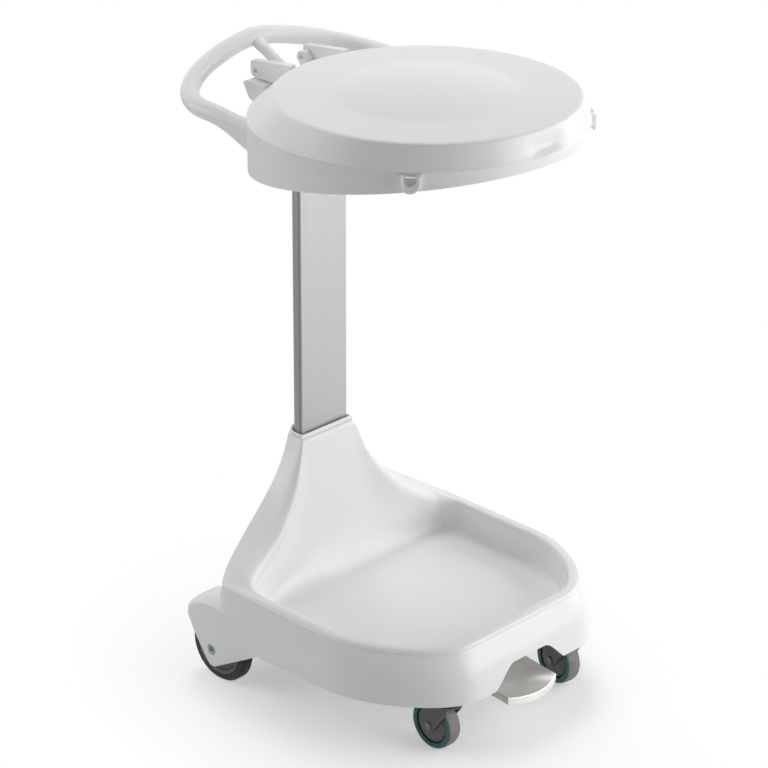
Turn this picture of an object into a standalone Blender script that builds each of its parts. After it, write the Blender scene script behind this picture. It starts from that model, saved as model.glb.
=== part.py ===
"""Pedal-operated waste sack holder on two swivel casters and two fixed rear wheels.

A moulded base with a tray and a flared neck carries an aluminium column. The column carries a head moulding:
the sack ring, the push handle and the lid's hinge. The pedal lifts a rod inside the column, and the rod's
slotted head lifts a crank under the lid.

Metres, +Z up. The front of the holder faces -Y and X = 0 is the plane of symmetry. Lengths called front or
back are measured from the column's front face.
"""
from math import cos, pi, radians, sin, sqrt

import bmesh
import bpy
from mathutils import Vector

for old in list(bpy.data.objects):
    bpy.data.objects.remove(old, do_unlink=True)

# Clearances
SEAT_GAP = 0.0003
RUNNING_GAP = 0.0003
SWING_GAP = 0.0008

# Where the column's front face stands, so that the holder's box is centred on the origin
COLUMN_FACE_Y = 0.139

# Column: an aluminium section with a flat front and rounded back corners
COLUMN_WIDTH = 0.090
COLUMN_DEPTH = 0.030
COLUMN_BACK_RADIUS = 0.021
COLUMN_WALL = 0.0025
COLUMN_TOP_Z = 0.815
GROOVE_WIDTH = 0.0030
GROOVE_DEPTH = 0.0010

# Base moulding: outer edge, rim crest and tray floor, each an outline in plan
BASE_WALL = 0.004
BASE_HALF_WIDTH = 0.231
BASE_FRONT = 0.4155
BASE_FRONT_FLAT = 0.105
BASE_SIDE_START = 0.235
BASE_SIDE_END = 0.021
BASE_BACK = 0.050
BASE_EDGE_Z = 0.080
BASE_EDGE_RISE = 0.009
BASE_EDGE_LEVEL = 0.100
RIM_Z = 0.168
RIM_HALF = 0.009
RIM_ROUND = 0.008
RIM_INSET = 0.014
RIM_FRONT_LEAN = 0.0305
TRAY_FLOOR_Z = 0.118
TRAY_WALL_RUN = 0.024
TRAY_FRONT_RUN = 0.028
TRAY_BACK = 0.046
TRAY_SIDE_END = 0.085
RAMP_FILLET = 0.010
TRAY_FILLET = 0.022
CORNER_FULLNESS = 0.46

# Neck of the base: a bell that rises from the rims to the collar round the column
NECK_TOP_Z = 0.335
NECK_MARGIN = 0.007
NECK_ROUND = 0.003
NECK_CORNER = 0.4
NECK_FLARE_RUN = 0.036
NECK_FLARE_RISE = 0.026
NECK_SOFT = 0.014
FLANK_WAIST_HALF = 0.128
FLANK_FRONT = 0.0265
FLANK_WAIST_Z = 0.195
FLANK_RUN = 0.050
FLANK_LEAN = 0.019
FLANK_DROP = 0.071
SHOULDER_TURN = radians(26)
NECK_WAIST_LEAN = 0.030
NECK_WAIST_DROP = 0.104
COLLAR_LIP = 0.006
COLLAR_HEIGHT = 0.006

# Seat plate inside the neck, on which the column stands
SEAT_Z = 0.122
SEAT_THICK = 0.006
SEAT_HALF_WIDTH = 0.090

# Arch in the front wall, over the pedal
ARCH_HALF_WIDTH = 0.0885
ARCH_FLAT = 0.031
ARCH_HEIGHT = 0.040

# Rear wheels and the hoods that carry them
REAR_RADIUS = 0.055
REAR_WIDTH = 0.022
REAR_TYRE_DEPTH = 0.012
REAR_AXLE_BACK = 0.0
REAR_BOLT_RADIUS = 0.004
HOOD_RADIUS = 0.070
HOOD_PROUD = 0.0015
HOOD_CHEEK = 0.007
HOOD_INNER_CHEEK = 0.009
WHEEL_SIDE_GAP = 0.006
CHEEK_LOW_Z = 0.028
CHEEK_TAIL_BACK = 0.050
CHEEK_FRONT = 0.094

# Casters
CASTER_INSET = 0.103
CASTER_SETBACK = 0.0405
CASTER_TRAIL = 0.022
CASTER_RADIUS = 0.0375
CASTER_WIDTH = 0.022
CASTER_TREAD = 0.005
CASTER_TURN_LEFT = radians(-2)
CASTER_TURN_RIGHT = radians(-10)
FORK_WALL = 0.003
FORK_GAP = 0.0022
CROWN_RADIUS = 0.021
CROWN_THICK = 0.0033
CROWN_GAP = 0.0012
BEARING_RADIUS = 0.009
STEM_RADIUS = 0.0055
STEM_LENGTH = 0.030
BOSS_RADIUS = 0.012
BOSS_HEIGHT = 0.035

# Head moulding: sack ring with a slanted lower edge
LID_RADIUS = 0.2295
LID_BACK = 0.0375
SEAM_Z = 0.865
RING_INSET = 0.001
RING_FLARE = 0.009
RING_FLARE_START = radians(70)
RING_FLARE_END = radians(125)
RING_WALL = 0.0035
RING_DECK = 0.024
RING_LIP = 0.020
BAND_FRONT = 0.013
BAND_BACK = 0.086
SOCKET_WALL = 0.008
SOCKET_BACK = 0.047
HOOK_ANGLE = radians(50)
HOOK_WIDTH = 0.030
HOOK_HEIGHT = 0.0225
HOOK_STAND = 0.0075
HOOK_SLOT = 0.016
HOOK_FLOOR = 0.007
HOOK_PIN_RADIUS = 0.0015

# Push handle
HANDLE_HALF_WIDTH = 0.178
HANDLE_BACK = 0.149
HANDLE_CROWN_Z = 0.9045
HANDLE_CORNER_Z = 0.858
HANDLE_CORNER_BACK = 0.045
HANDLE_BAR_RADIUS = 0.0118
ARM_THICK = 0.018
ARM_ROOT_HEIGHT = 0.052
SPOKE_WIDTH = 0.018
SPOKE_THICK = 0.014

# Lid and hinge
LID_WALL = 0.003
LID_SKIRT = 0.036
LID_TOP_INSET = 0.0175
LID_DOME_INSET = 0.074
LID_DOME_RISE = 0.012
NOTCH_DEPTH = 0.006
NOTCH_HALF_ANGLE = radians(6)
HINGE_SETBACK = 0.039
HINGE_RISE = 0.015
LUG_X = 0.045
LUG_THICK = 0.012
LUG_RADIUS = 0.010
KNUCKLE_THICK = 0.013
HINGE_PIN_RADIUS = 0.003
WEDGE_X = 0.0715

# Lifting gear
LID_OPEN = radians(70)
CRANK_RADIUS = 0.050
CRANK_PIN_RADIUS = 0.003
CRANK_CHEEK = 0.004
ROD_RADIUS = 0.005
ROD_HEAD_THICK = 0.0076
ROD_FOOT_RADIUS = 0.009
ROD_FOOT_THICK = 0.0057
PLUG_HEIGHT = 0.015

# Pedal
PEDAL_HALF_WIDTH = 0.0507
PEDAL_STAND = 0.0035
PEDAL_BULGE = 0.016
PEDAL_LENGTH = 0.075
PEDAL_TOP_Z = 0.0702
PEDAL_SLOPE = 0.098
PEDAL_FLANGE = 0.0105
PEDAL_SHEET = 0.002
PIVOT_FRONT = 0.230
PIVOT_Z = 0.088
PIVOT_RADIUS = 0.004
ARM_HALF_WIDTH = 0.018
ARM_BAR = 0.005
NOSE_RADIUS = 0.006
NOSE_Z = 0.050

# Screws
SCREW_RADIUS = 0.002
SCREW_HEAD_RADIUS = 0.0042
SCREW_HEAD = 0.003

# Values that follow from the driving dimensions
column_mid = COLUMN_DEPTH / 2
lid_y = LID_BACK - LID_RADIUS
lid_back = LID_BACK
lid_top_radius = LID_RADIUS - LID_TOP_INSET
lid_dome_radius = lid_top_radius - LID_DOME_INSET
hinge_y = lid_back + HINGE_SETBACK
hinge_z = SEAM_Z + HINGE_RISE
ring_radius = LID_RADIUS - RING_INSET
ring_inner = ring_radius - RING_DECK
crank_y = hinge_y - CRANK_RADIUS * cos(LID_OPEN / 2)
crank_z = hinge_z - CRANK_RADIUS * sin(LID_OPEN / 2)
rod_stroke = 2 * CRANK_RADIUS * sin(LID_OPEN / 2)
seat_top = SEAT_Z + SEAT_THICK
hood_face_x = BASE_HALF_WIDTH + HOOD_PROUD
caster_x = BASE_HALF_WIDTH - CASTER_INSET
caster_front = BASE_FRONT - CASTER_SETBACK
pedal_front = BASE_FRONT + PEDAL_STAND
rear_axle_z = REAR_RADIUS
well_radius = HOOD_RADIUS - BASE_WALL
rear_wheel_x = hood_face_x - HOOD_CHEEK - WHEEL_SIDE_GAP - REAR_WIDTH / 2
well_inner_x = rear_wheel_x - REAR_WIDTH / 2 - WHEEL_SIDE_GAP
well_outer_x = hood_face_x - HOOD_CHEEK
crown_z = 2 * CASTER_RADIUS + CROWN_GAP
crown_top = crown_z + CROWN_THICK
boss_z = crown_top + 0.010
rod_foot_z = NOSE_Z + NOSE_RADIUS + SEAT_GAP
rod_z = rod_foot_z + ROD_FOOT_THICK + SEAT_GAP
floor_under = TRAY_FLOOR_Z - BASE_WALL

holder = bpy.data.objects.new("holder", None)
holder.location = (0, COLUMN_FACE_Y, 0)
bpy.context.scene.collection.objects.link(holder)


def pivot(name, place, turn=0.0, parent=holder):
    """An empty on a joint's axis."""
    empty = bpy.data.objects.new(name, None)
    empty.parent = parent
    empty.location = place
    empty.rotation_euler = (0, 0, turn)
    bpy.context.scene.collection.objects.link(empty)
    return empty


def finish(name, colour, roughness, metallic):
    """A Principled material."""
    material = bpy.data.materials.new(name)
    material.use_nodes = True
    shader = material.node_tree.nodes["Principled BSDF"]
    shader.inputs["Base Color"].default_value = (*colour, 1)
    shader.inputs["Roughness"].default_value = roughness
    shader.inputs["Metallic"].default_value = metallic
    material.diffuse_color = (*colour, 1)
    return material


WHITE_ABS = finish("white_abs", (0.86, 0.86, 0.86), 0.30, 0)
ALUMINIUM = finish("brushed_aluminium", (0.62, 0.62, 0.63), 0.35, 1)
STEEL = finish("zinc_steel", (0.60, 0.62, 0.63), 0.30, 1)
STAINLESS = finish("stainless_sheet", (0.66, 0.64, 0.61), 0.35, 1)
CASTER_GREY = finish("caster_grey", (0.13, 0.13, 0.13), 0.45, 0)
CASTER_TEAL = finish("caster_teal", (0.02, 0.13, 0.12), 0.40, 0)
TREAD_GREY = finish("tread_grey", (0.24, 0.23, 0.23), 0.60, 0)
BLACK_RUBBER = finish("black_rubber", (0.02, 0.02, 0.02), 0.60, 0)
HUB_GREY = finish("hub_grey", (0.09, 0.09, 0.10), 0.45, 0)
NATURAL_NYLON = finish("natural_nylon", (0.72, 0.71, 0.66), 0.50, 0)


def piece(name, bm, material, parent=holder, offset=(0, 0, 0)):
    """Turn a bmesh into a named, shaded object under its parent."""
    bmesh.ops.remove_doubles(bm, verts=bm.verts, dist=1e-6)
    bmesh.ops.recalc_face_normals(bm, faces=bm.faces)
    mesh = bpy.data.meshes.new(name)
    bm.to_mesh(mesh)
    bm.free()
    mesh.shade_smooth()
    mesh.set_sharp_from_angle(angle=radians(35))
    mesh.materials.append(material)
    obj = bpy.data.objects.new(name, mesh)
    obj.parent = parent
    obj.location = -Vector(offset)
    bpy.context.scene.collection.objects.link(obj)
    return obj


def combine(target, bm, operation):
    """Add a Boolean to a piece, with a hidden helper object made from a bmesh."""
    count = sum(1 for modifier in target.modifiers if modifier.type == "BOOLEAN")
    helper = piece(f"{target.name}_shape_{count}", bm, target.data.materials[0], target.parent,
                   -target.location)
    helper.hide_render = True
    helper.display_type = "WIRE"
    modifier = target.modifiers.new(f"{operation.lower()}_{count}", "BOOLEAN")
    modifier.operation = operation
    modifier.solver = "EXACT"
    modifier.object = helper


def join(target, bm):
    combine(target, bm, "UNION")


def cut(target, bm):
    combine(target, bm, "DIFFERENCE")


def loft(rings, closed=False, caps=(True, True)):
    """Skin a list of rings of equal point count; closed joins the last ring to the first."""
    bm = bmesh.new()
    rows = [[bm.verts.new(point) for point in ring] for ring in rings]
    pairs = list(zip(rows, rows[1:]))
    if closed:
        pairs.append((rows[-1], rows[0]))
    for lower, upper in pairs:
        for i in range(len(lower)):
            j = (i + 1) % len(lower)
            bm.faces.new((lower[i], lower[j], upper[j], upper[i]))
    if not closed:
        if caps[0]:
            bm.faces.new(rows[0])
        if caps[1]:
            bm.faces.new(rows[-1])
    return bm


def place_on(axis, pair, depth):
    """A point from two coordinates in the plane square to an axis, and a depth along it."""
    a, b = pair
    return {"X": (depth, a, b), "Y": (a, depth, b), "Z": (a, b, depth)}[axis]


def prism(outline, axis, low, high):
    """An outline, in the two remaining coordinates in XYZ order, pushed along an axis."""
    return loft([[place_on(axis, pair, depth) for pair in outline] for depth in (low, high)])


def sleeve(outer, inner, axis, low, high):
    """A tube whose outer and inner outlines have the same number of points."""
    rings = [(outer, low), (outer, high), (inner, high), (inner, low)]
    return loft([[place_on(axis, pair, depth) for pair in outline] for outline, depth in rings], closed=True)


def box(low, high):
    """A block between two corners."""
    (x0, y0, z0), (x1, y1, z1) = low, high
    return prism([(x0, y0), (x1, y0), (x1, y1), (x0, y1)], "Z", z0, z1)


def arc(centre, radius, start, end, steps):
    """Points on a circle, from one angle in degrees to another."""
    angles = [radians(start + (end - start) * i / steps) for i in range(steps + 1)]
    return [(centre[0] + radius * cos(a), centre[1] + radius * sin(a)) for a in angles]


def circle(centre, radius, steps):
    """A closed circle without its repeated last point."""
    return arc(centre, radius, 0, 360, steps)[:-1]


def round_bar(centre, radius, axis, low, high, steps=12):
    """A cylinder along an axis."""
    return prism(circle(centre, radius, steps), axis, low, high)


def stacked(profile, centre, axis, steps=24):
    """Discs of given radius and depth, skinned into one turned solid."""
    return loft([[place_on(axis, pair, depth) for pair in circle(centre, radius, steps)]
                 for radius, depth in profile])


def turned(profile, centre, axis, steps=32):
    """A closed profile of (radius, depth) points swung round an axis that it doesn't touch."""
    rings = []
    for i in range(steps):
        angle = 2 * pi * i / steps
        rings.append([place_on(axis, (centre[0] + r * cos(angle), centre[1] + r * sin(angle)), depth)
                      for r, depth in profile])
    return loft(rings, closed=True)


def bezier(p0, p1, p2, p3, t):
    """A point on a cubic curve."""
    s = 1 - t
    return p0 * s ** 3 + p1 * (3 * s * s * t) + p2 * (3 * s * t * t) + p3 * t ** 3


def smooth(t):
    """A soft step from 0 to 1."""
    t = min(max(t, 0.0), 1.0)
    return t * t * (3 - 2 * t)


def merged(*shapes):
    """Several separate solids in one bmesh."""
    whole = bmesh.new()
    for shape in shapes:
        mesh = bpy.data.meshes.new("part_of_group")
        shape.to_mesh(mesh)
        shape.free()
        whole.from_mesh(mesh)
        bpy.data.meshes.remove(mesh)
    return whole


def mirrored(outline):
    """The same outline on the other side of X = 0."""
    return [(-x, y) for x, y in outline]


def column_outline(grow=0.0, groove=False):
    """The column's section in plan, grown or shrunk by an even margin."""
    half = COLUMN_WIDTH / 2 + grow
    front = -grow
    back = COLUMN_DEPTH + grow
    radius = COLUMN_BACK_RADIUS + grow
    side = [(half, front)]
    if groove:
        groove_y = (COLUMN_DEPTH - COLUMN_BACK_RADIUS) / 2
        bottom = half - GROOVE_DEPTH
        reach = GROOVE_WIDTH / 2 - 0.4 * grow
        side += [(half, groove_y - reach), (bottom, groove_y - 0.9 * reach),
                 (bottom, groove_y + 0.9 * reach), (half, groove_y + reach)]
    side += arc((half - radius, back - radius), radius, 0, 90, 6)
    return side + mirrored(side)[::-1]


def band_z(y):
    """Height of the sack ring's slanted lower edge."""
    share = (y - lid_y + ring_radius) / (2 * ring_radius)
    return SEAM_Z - BAND_FRONT - (BAND_BACK - BAND_FRONT) * share


# Base moulding

FRONT_STEPS = 2
CORNER_STEPS = 7
SIDE_STEPS = 4
BELL_STEPS = 9
TOP_STEPS = 4
crest_half = BASE_HALF_WIDTH - RIM_INSET
crest_front = BASE_FRONT - RIM_FRONT_LEAN
floor_half = crest_half - TRAY_WALL_RUN
floor_front = crest_front - TRAY_FRONT_RUN
collar_half = COLUMN_WIDTH / 2 + NECK_MARGIN
collar_half_depth = COLUMN_DEPTH / 2 + NECK_MARGIN + BASE_WALL / 2


def plan_point(half_width, front, flat, side_start, side_end, u):
    """A point of an outline in plan: u runs 0-1 along the front, 1-2 round the corner, 2-3 along the side."""
    if u <= 1:
        return Vector((flat * u, -front, 0))
    if u <= 2:
        first = Vector((flat, -front, 0))
        last = Vector((half_width, -side_start, 0))
        return bezier(first, first + Vector((CORNER_FULLNESS * (half_width - flat), 0, 0)),
                      last - Vector((0, CORNER_FULLNESS * (front - side_start), 0)), last, u - 1)
    return Vector((half_width, -side_start + (side_start - side_end) * (u - 2), 0))


def edge_point(u):
    """The base's lower edge."""
    corner = Vector((collar_half, BASE_BACK, BASE_EDGE_Z))
    if u <= 3:
        point = plan_point(BASE_HALF_WIDTH, BASE_FRONT, BASE_FRONT_FLAT, BASE_SIDE_START, BASE_SIDE_END, u)
        rise = smooth((-point.y - BASE_EDGE_LEVEL) / (BASE_FRONT - BASE_EDGE_LEVEL))
        return Vector((point.x, point.y, BASE_EDGE_Z + BASE_EDGE_RISE * rise))
    if u <= 4:
        first = Vector((BASE_HALF_WIDTH, -BASE_SIDE_END, BASE_EDGE_Z))
        turn = BASE_SIDE_END + BASE_BACK
        return bezier(first, first + Vector((0, 0.42 * turn, 0)),
                      corner + Vector((0.49 * (BASE_HALF_WIDTH - collar_half), 0, 0)), corner, u - 3)
    return Vector((collar_half * (5 - u), BASE_BACK, BASE_EDGE_Z))


def floor_point(u):
    """The edge of the tray's flat floor."""
    corner = Vector((collar_half, -TRAY_BACK, TRAY_FLOOR_Z))
    if u <= 3:
        point = plan_point(floor_half, floor_front, BASE_FRONT_FLAT - RIM_INSET,
                           BASE_SIDE_START - TRAY_WALL_RUN,
                           TRAY_SIDE_END, u)
        return Vector((point.x, point.y, TRAY_FLOOR_Z))
    if u <= 4:
        first = Vector((floor_half, -TRAY_SIDE_END, TRAY_FLOOR_Z))
        return bezier(first, first + Vector((0, 0.9 * (TRAY_SIDE_END - TRAY_BACK), 0)),
                      corner + Vector((0.82 * (floor_half - collar_half), 0, 0)), corner, 1 - (4 - u) ** 1.5)
    return Vector((collar_half * (5 - u), -TRAY_BACK, TRAY_FLOOR_Z))


def crest_point(u):
    """The rim's crest, which climbs the bell of the neck to the collar's top."""
    if u <= 3:
        point = plan_point(crest_half, crest_front, BASE_FRONT_FLAT - RIM_INSET / 2,
                           BASE_SIDE_START - RIM_INSET,
                           BASE_SIDE_END, u)
        return Vector((point.x, point.y, RIM_Z))
    top = Vector((collar_half, column_mid, NECK_TOP_Z))
    if u <= 4:
        foot = Vector((crest_half, -BASE_SIDE_END, RIM_Z))
        return bezier(foot, Vector((crest_half - NECK_FLARE_RUN, column_mid, RIM_Z + NECK_FLARE_RISE)),
                      Vector((collar_half + NECK_WAIST_LEAN, column_mid, NECK_TOP_Z - NECK_WAIST_DROP)), top,
                      u - 3)
    return Vector((collar_half * (5 - u), column_mid, NECK_TOP_Z))


def flank_edge(u):
    """The edge between the tray's wall and the rim's top, which leaves the rim and climbs the neck."""
    if u <= 2.5:
        return crest_point(u) + rim_inward(u) * RIM_HALF
    top = Vector((collar_half, column_mid - collar_half_depth, NECK_TOP_Z))
    if u >= 4:
        return Vector((collar_half * (5 - u), top.y, NECK_TOP_Z))
    waist = Vector((FLANK_WAIST_HALF, -FLANK_FRONT, FLANK_WAIST_Z))
    climb = Vector((-FLANK_RUN, 0, FLANK_RUN / 2))
    if u <= 3.4:
        first = flank_edge(2.5)
        return bezier(first, first + Vector((0, 0.74 * (waist.y - first.y), 0)), waist - climb, waist,
                      (u - 2.5) / 0.9)
    return bezier(waist, waist + 0.48 * climb, top + Vector((FLANK_LEAN, -FLANK_LEAN / 4, -FLANK_DROP)), top,
                  (u - 3.4) / 0.6)


def flank_round(u):
    """How far the rounding of that edge reaches: soft on the shoulder, tight at the collar."""
    if u <= 3.3:
        return RIM_ROUND + NECK_SOFT * smooth((u - 2.5) / 0.8)
    return NECK_ROUND + (RIM_ROUND + NECK_SOFT - NECK_ROUND) * (1 - smooth((u - 3.3) / 0.62))


def rim_inward(u):
    """Direction from the rim into the tray."""
    if u > 2:
        turn = SHOULDER_TURN * smooth((u - 2.5) / 0.6) + (pi / 2 - SHOULDER_TURN) * smooth((u - 3.3) / 0.52)
        return Vector((-cos(turn), -sin(turn), 0))
    along = crest_point(u + 1e-3) - crest_point(max(u - 1e-3, 0))
    return Vector((-along.y, along.x, 0)).normalized()


def rim_outside(u):
    """Direction out of the rim, then half-width and rounding of its outer side."""
    up = Vector((0, 0, 1))
    if u <= 3:
        return up, RIM_HALF, RIM_ROUND
    corner = NECK_CORNER * collar_half_depth
    if u < 4:
        slope = crest_point(u + 1e-3) - crest_point(u - 1e-3)
        normal = Vector((slope.z, 0, -slope.x)).normalized()
        grown = 1 - (4 - u) ** 2
        return (up.lerp(normal, smooth((u - 3) / 0.6)).normalized(), RIM_HALF + (corner - RIM_HALF) * grown,
                RIM_ROUND + (NECK_ROUND - RIM_ROUND) * grown)
    rear = collar_half_depth * (1 - (5 - u) ** 2.5) ** 0.4
    return Vector((1, 0, 1)).normalized() if u == 4 else up, max(rear, corner), NECK_ROUND


def base_profile(u):
    """One section of the base's skin, from the tray floor over the rim to the lower edge."""
    crest = crest_point(u)
    inward = rim_inward(u)
    outward, half, bead = rim_outside(u)
    quarter = [(1, 0), (1 - cos(pi / 4), 1 - sin(pi / 4)), (0, 1)]
    outer = [crest - inward * (half - bead * a) - outward * bead * b for a, b in quarter]
    foot = floor_point(u)
    ramp = smooth((u - 2.6) / 0.8)
    heel = foot - inward * (TRAY_FILLET + (RAMP_FILLET - TRAY_FILLET) * ramp)
    ridge = flank_edge(u)
    reach = flank_round(u)
    shelf = crest - ridge
    low = ridge + reach * Vector((0, 0, -1)).lerp((heel - ridge).normalized(), ramp).normalized()
    high = ridge + shelf * min(reach / shelf.length, 0.9)
    inner = [low, 0.25 * low + 0.5 * ridge + 0.25 * high, high]
    upper = (low - Vector((0, 0, 0.55 * (low.z - foot.z)))).lerp(low.lerp(heel, 0.5), ramp)
    wall = [bezier(foot, heel, upper, low, t / 5) for t in range(5)]
    edge = edge_point(u)
    drop = Vector((0, 0, outer[-1].z - edge.z))
    flare = Vector((edge.x - outer[-1].x, edge.y - outer[-1].y, 0))
    skirt = [bezier(outer[-1], outer[-1] + 0.5 * flare - 0.2 * drop, edge + 0.55 * drop, edge, t / 4)
             for t in range(1, 5)]
    return wall + inner + outer + skirt


def base_skin():
    """The whole skin: sections on the right, mirrored on the left, lofted ring by ring."""
    spans = [(0, FRONT_STEPS), (1, CORNER_STEPS), (2, SIDE_STEPS), (3, BELL_STEPS), (4, TOP_STEPS)]
    stations = [first + i / steps for first, steps in spans for i in range(steps)] + [5]
    right = [base_profile(u) for u in stations]
    left = [[Vector((-p.x, p.y, p.z)) for p in section] for section in right[-2:0:-1]]
    sections = right + left
    bm = loft([[section[k] for section in sections] for k in range(len(right[0]))], caps=(True, False))
    bm.normal_update()
    floor = max(bm.faces, key=lambda face: len(face.verts))
    if floor.normal.z < 0:
        bmesh.ops.reverse_faces(bm, faces=bm.faces)
    return bm


def hood_outline():
    """Side view of a rear wheel's hood: round over the wheel, with a cheek that reaches down to the axle."""
    axle = (REAR_AXLE_BACK, rear_axle_z)
    top = arc(axle, HOOD_RADIUS, 115, 43, 8)
    low = [(CHEEK_TAIL_BACK - 0.011, rear_axle_z + 0.020), (REAR_AXLE_BACK + 0.010, CHEEK_LOW_Z + 0.007),
           (REAR_AXLE_BACK + 0.003, CHEEK_LOW_Z + 0.001), (REAR_AXLE_BACK - 0.006, CHEEK_LOW_Z + 0.001)]
    front = [(-CHEEK_FRONT, BASE_EDGE_Z - 0.0015), (-CHEEK_FRONT, top[0][1] - 0.010)]
    return top + low + front


def well_outline():
    """Side view of the space for a rear wheel, open below and behind."""
    axle = (REAR_AXLE_BACK, rear_axle_z)
    over = arc(axle, well_radius, 0, 110, 10)
    return [(well_radius + HOOD_RADIUS, -0.01), (well_radius + HOOD_RADIUS, rear_axle_z)] + over + [
        (-CHEEK_FRONT + BASE_WALL, over[-1][1] - 0.006), (-CHEEK_FRONT + BASE_WALL, -0.01)]


def arch_outline():
    """Front view of the arch: a flat top that swings out to the lower edge on both sides."""
    top = BASE_EDGE_Z + ARCH_HEIGHT
    low = BASE_EDGE_Z - 0.01
    side = []
    for i in range(7):
        t = i / 6
        side.append((ARCH_FLAT + (ARCH_HALF_WIDTH - ARCH_FLAT) * t, top - ARCH_HEIGHT * smooth(t)))
    side.append((ARCH_HALF_WIDTH, low))
    return side + mirrored(side)[::-1]


base = piece("base_moulding", base_skin(), WHITE_ABS)
base.data.shade_smooth()
shell = base.modifiers.new("wall", "SOLIDIFY")
shell.thickness = BASE_WALL
shell.offset = -1
shell.use_even_offset = True
shell.use_rim = True
base.modifiers.new("facets", "TRIANGULATE")

seat_front = -TRAY_BACK + 2 * BASE_WALL
seat_back = BASE_BACK - BASE_WALL / 2
join(base, box((-SEAT_HALF_WIDTH, seat_front, SEAT_Z), (SEAT_HALF_WIDTH, seat_back, seat_top)))


def both(shape):
    """One shape for each side, in one bmesh."""
    return merged(shape(-1), shape(1))


def across(side, low, high):
    """Two distances from X = 0 as an ordered pair on one side."""
    return sorted((side * low, side * high))


rear_axle = (REAR_AXLE_BACK, rear_axle_z)
join(base, both(lambda side: prism(hood_outline(), "X",
                                   *across(side, well_inner_x - HOOD_INNER_CHEEK, hood_face_x))))
join(base, both(lambda side: round_bar((side * caster_x, -caster_front), BOSS_RADIUS, "Z",
                                       boss_z, boss_z + BOSS_HEIGHT, 12)))
join(base, both(lambda side: box((side * caster_x - BASE_WALL, -caster_front, boss_z + BASE_WALL),
                                 (side * caster_x + BASE_WALL, -floor_front + 2 * BOSS_RADIUS,
                                  floor_under + BASE_WALL / 2))))
cut(base, both(lambda side: prism(well_outline(), "X", *across(side, well_inner_x, well_outer_x))))
cut(base, both(lambda side: round_bar(rear_axle, REAR_BOLT_RADIUS + SEAT_GAP, "X",
                                      *across(side, well_inner_x - 2 * HOOD_INNER_CHEEK,
                                              hood_face_x + 0.01))))
cut(base, both(lambda side: round_bar(rear_axle, 2 * REAR_BOLT_RADIUS + SEAT_GAP, "X",
                                      *across(side, hood_face_x - SCREW_HEAD, hood_face_x + 0.01))))
cut(base, both(lambda side: round_bar((side * caster_x, -caster_front), STEM_RADIUS + SEAT_GAP, "Z",
                                      boss_z - 0.01, boss_z + STEM_LENGTH + SEAT_GAP)))
cut(base, prism(arch_outline(), "Y", -BASE_FRONT - 0.02, -floor_front - TRAY_FRONT_RUN / 2))
cut(base, prism(column_outline(SEAT_GAP), "Z", seat_top + BASE_WALL, NECK_TOP_Z + 0.02))
cut(base, round_bar((0, column_mid), ROD_RADIUS + SWING_GAP, "Z", SEAT_Z - 0.01, seat_top + 0.01))

# Column, its collar and the two plugs that guide the lift rod

column_foot = seat_top + SEAT_GAP
column = piece("column", sleeve(column_outline(groove=True), column_outline(-COLUMN_WALL, groove=True), "Z",
                                column_foot, COLUMN_TOP_Z), ALUMINIUM)

collar_low = NECK_TOP_Z + SEAT_GAP
collar_inner = column_outline(SEAT_GAP)
collar_rings = [(collar_inner, collar_low), (column_outline(COLLAR_LIP), collar_low),
                (column_outline(COLLAR_LIP), collar_low + 0.6 * COLLAR_HEIGHT),
                (column_outline(0.6 * COLLAR_LIP), collar_low + COLLAR_HEIGHT),
                (collar_inner, collar_low + COLLAR_HEIGHT)]
piece("column_collar", loft([[(x, y, z) for x, y in outline] for outline, z in collar_rings], closed=True),
      WHITE_ABS)

plug_outline = column_outline(-COLUMN_WALL - SEAT_GAP - GROOVE_DEPTH)
screw_x = COLUMN_WIDTH / 2 - COLUMN_BACK_RADIUS / 2
for name, low in (("rod_guide_lower", column_foot), ("rod_guide_upper", COLUMN_TOP_Z - PLUG_HEIGHT)):
    guide = piece(name, prism(plug_outline, "Z", low, low + PLUG_HEIGHT), NATURAL_NYLON)
    cut(guide, round_bar((0, column_mid), ROD_RADIUS + RUNNING_GAP, "Z",
                         low - 0.01, low + PLUG_HEIGHT + 0.01))
    if name == "rod_guide_lower":
        for side in (-1, 1):
            cut(guide, round_bar((side * screw_x, column_mid), SCREW_RADIUS + SEAT_GAP, "Z",
                                 low - 0.01, low + PLUG_HEIGHT + 0.01, 8))


def screw(centre, axis, seat, tip, head_radius=SCREW_HEAD_RADIUS, head=SCREW_HEAD):
    """A screw whose head rests on a seat and whose shank ends at a tip."""
    away = 1 if seat > tip else -1
    seat += away * SEAT_GAP
    profile = [(head_radius, seat + away * head), (head_radius, seat), (SCREW_RADIUS, seat),
               (SCREW_RADIUS, tip)]
    return stacked(profile, centre, axis, 8)


cut(base, both(lambda side: round_bar((side * screw_x, column_mid), SCREW_RADIUS + SEAT_GAP, "Z",
                                      SEAT_Z - 0.01, seat_top + 0.01, 8)))
for side, word in ((-1, "left"), (1, "right")):
    piece(f"column_screw_{word}",
          screw((side * screw_x, column_mid), "Z", SEAT_Z, column_foot + 0.8 * PLUG_HEIGHT), STEEL)

# Head moulding

HEAD_STEPS = 64


def ring_section(angle):
    """Section of the sack ring: outer skirt down to the slanted edge, flat deck and inner lip."""
    direction = Vector((sin(angle), -cos(angle), 0))
    share = (min(angle, 2 * pi - angle) - RING_FLARE_START) / (RING_FLARE_END - RING_FLARE_START)
    outer = ring_radius + RING_FLARE * smooth(share)
    low = band_z(lid_y + ring_radius * direction.y)
    under = SEAM_Z - RING_WALL
    lip = SEAM_Z - min(RING_LIP, 0.8 * (SEAM_Z - low) + RING_WALL)
    profile = [(ring_inner, lip), (ring_inner, SEAM_Z), (outer, SEAM_Z), (outer, low),
               (outer - RING_WALL, low), (outer - RING_WALL, under),
               (ring_inner + RING_WALL, under), (ring_inner + RING_WALL, lip)]
    return [Vector((0, lid_y, z)) + direction * r for r, z in profile]


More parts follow.
